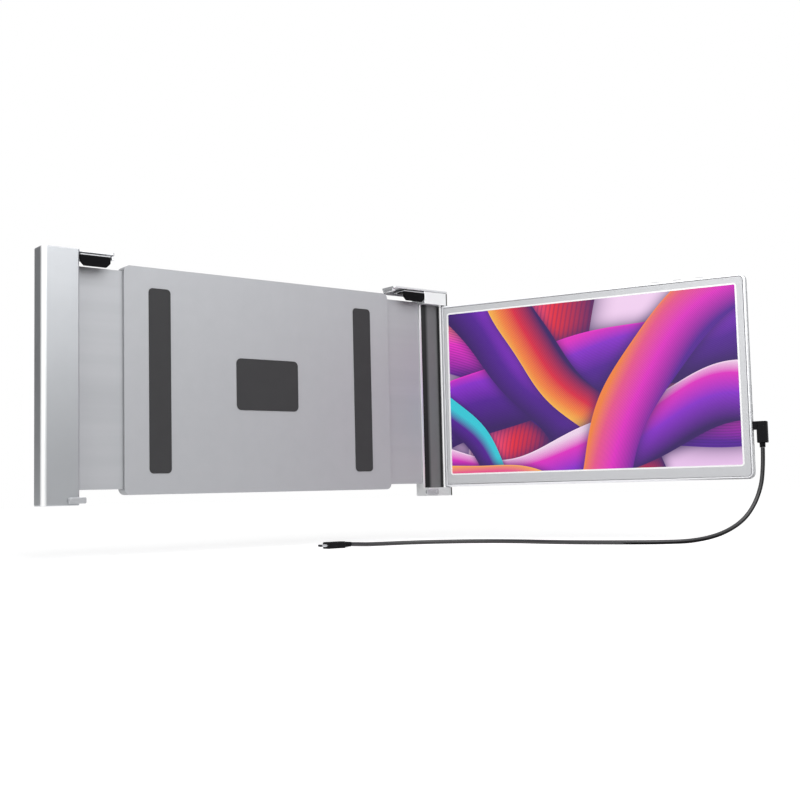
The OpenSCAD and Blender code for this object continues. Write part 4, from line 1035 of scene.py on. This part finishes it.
# other CAD shapes, and the radius in mm that their edges are broken to
edges = {
    "left_hook_strip": 0.15, "right_hook_strip": 0.15,
    "left_hook_pad": 0.3, "right_hook_pad": 0.3,
    "left_latch_pad": 0.3, "right_latch_pad": 0.3,
    "right_spine": 0.3, "right_back_plate": 0.35, "column_cover": 0.2,
    "right_top_block": 0.4, "right_bottom_block": 0.4,
    "chassis_rear_cover": 0.35, "chassis_front_plate": 0.25, "lid_rest_pads": 0.2,
    "kickstand": 0.35, "kickstand_foot": 0.2,
    "left_arm_plate": 0.15, "right_arm_plate": 0.15,
    "power_button": 0.2, "up_button": 0.2, "down_button": 0.2,
}
for name, width in edges.items():
    settle(dressed(name, width), name)
for name, thing in nodes.items():
    if slotOf[name] in materials:
        thing.data.materials.clear()
        thing.data.materials.append(materials[slotOf[name]])
# these two blocks take the finish with painted shade on their outer ends
for name in ("right_top_block", "right_bottom_block"):
    bpy.data.objects["dressed_" + name].data.materials[0] = materials["bracket_ends"]
print("edges broken:", len(edges))

studio = {
    "floor": -160.0,  # mm
    "floorSize": 12.0,  # metres, as all that follows
    "floorTone": 0.86,
    "floorRoughness": 0.9,
    "floorGlow": (0.50, 0.80),  # near the object and far from it
    "glowFrom": 0.45,  # distances from the object's middle
    "glowTo": 1.6,
    "middle": (0, -0.1),
    "world": 0.30,  # what lights the object
    # name: place, watts, size, point it looks at
    "lamps": {
        "key": ((-0.05, -0.8, 0.62), 5.9, 1.0, (0.05, -0.05, 0.0)),
        "top": ((0.0, 0.1, 1.2), 4.0, 1.0, (0, 0, 0)),
        "side": ((-1.5, -0.75, 0.35), 3.9, 0.7, (0.0, -0.1, 0)),
        "panel": ((-0.30, -0.50, 0.50), 0.9, 0.4, (0.32, -0.18, 0.10)),
    },
    # dark cards that only reflections see: place, size, direction they face, tone
    "cards": {
        "card_behind": ((-1.0, 1.5, 0.15), (2.2, 1.4), (0.6, -1.0, 0.0), 0.16),
        "card_low": ((0.30, -1.3, -0.04), (2.4, 0.24), (-0.3, 1.0, 0.0), 0.02),
        "card_floor": ((0.1, -0.75, -0.1598), (2.2, 1.0), (0.0, 0.0, 1.0), 0.02),
        "card_right": ((1.9, 0.25, 0.45), (1.2, 1.0), (-0.95, -0.35, -0.15), 0.06),
    },
}


def seenDirectly(mat):  # 1 for camera, glossy and transmission rays, 0 for the others
    path = node(mat, "ShaderNodeLightPath")
    seen = path.outputs["Is Camera Ray"]
    for name in ("Is Glossy Ray", "Is Transmission Ray"):
        more = node(mat, "ShaderNodeMath", operation="ADD", use_clamp=True)
        feed(mat, more.inputs[0], seen)
        feed(mat, more.inputs[1], path.outputs[name])
        seen = more.outputs["Value"]
    return seen


def sheet(name, size, z, tone, roughness):  # flat rectangle that faces up, with a matte finish
    x, y = size[0] / 2, size[1] / 2
    mesh = bpy.data.meshes.new(name)
    mesh.from_pydata([(-x, -y, z), (x, -y, z), (x, y, z), (-x, y, z)], [], [(0, 1, 2, 3)])
    mat, shader = newFinish(name)
    feed(mat, shader.inputs["Base Color"], (tone,) * 3)
    feed(mat, shader.inputs["Roughness"], roughness)
    feed(mat, shader.inputs["Specular IOR Level"], 0.0)
    mesh.materials.append(mat)
    return inScene(name, mesh)


def makeFloor():  # its glow makes it white without lighting the object
    z = studio["floor"] * mm
    size = (studio["floorSize"],) * 2
    floor = sheet("floor", size, z, studio["floorTone"], studio["floorRoughness"])
    mat = floor.data.materials[0]
    shader = mat.node_tree.nodes["Principled BSDF"]
    away = node(mat, "ShaderNodeVectorMath", operation="DISTANCE")
    feed(mat, away.inputs[0], node(mat, "ShaderNodeTexCoord").outputs["Object"])
    away.inputs[1].default_value = (*studio["middle"], z)
    glow = node(mat, "ShaderNodeMapRange", interpolation_type="SMOOTHSTEP")
    feed(mat, glow.inputs["From Min"], studio["glowFrom"])
    feed(mat, glow.inputs["From Max"], studio["glowTo"])
    feed(mat, glow.inputs["To Min"], studio["floorGlow"][0])
    feed(mat, glow.inputs["To Max"], studio["floorGlow"][1])
    feed(mat, glow.inputs["Value"], away.outputs["Value"])
    gain = node(mat, "ShaderNodeMath", operation="MULTIPLY")
    feed(mat, gain.inputs[0], seenDirectly(mat))
    feed(mat, gain.inputs[1], glow.outputs["Result"])
    feed(mat, shader.inputs["Emission Color"], (1, 1, 1))
    feed(mat, shader.inputs["Emission Strength"], gain.outputs["Value"])


def makeLamp(name, place, power, size, aim):
    data = bpy.data.lights.new(name, "AREA")
    data.energy = power
    data.size = size
    lamp = inScene(name, data)
    lamp.location = place
    lamp.rotation_euler = (Vector(aim) - Vector(place)).to_track_quat("-Z", "Y").to_euler()


def makeCard(name, place, size, facing, tone):
    card = sheet(name, size, 0.0, tone, 1.0)
    card.location = place
    card.rotation_euler = Vector(facing).to_track_quat("Z", "Y").to_euler()
    card.visible_camera = False
    card.visible_diffuse = False
    card.visible_shadow = False


def makeWorld():  # soft light on the object, white where it is seen itself
    world = bpy.data.worlds.new("studio")
    bpy.context.scene.world = world
    world.use_nodes = True
    ends = world.node_tree.nodes
    soft = ends["Background"]
    white = node(world, "ShaderNodeBackground")
    for shade, strength in ((soft, studio["world"]), (white, 1.0)):
        feed(world, shade.inputs["Color"], (1, 1, 1))
        feed(world, shade.inputs["Strength"], strength)
    blend = node(world, "ShaderNodeMixShader")
    feed(world, blend.inputs["Fac"], seenDirectly(world))
    feed(world, blend.inputs[1], soft.outputs["Background"])
    feed(world, blend.inputs[2], white.outputs["Background"])
    feed(world, ends["World Output"].inputs["Surface"], blend.outputs["Shader"])


makeFloor()
for name, row in studio["lamps"].items():
    makeLamp(name, *row)
for name, row in studio["cards"].items():
    makeCard(name, *row)
makeWorld()
bpy.context.scene.view_settings.view_transform = "Standard"
print("floor and light ready")
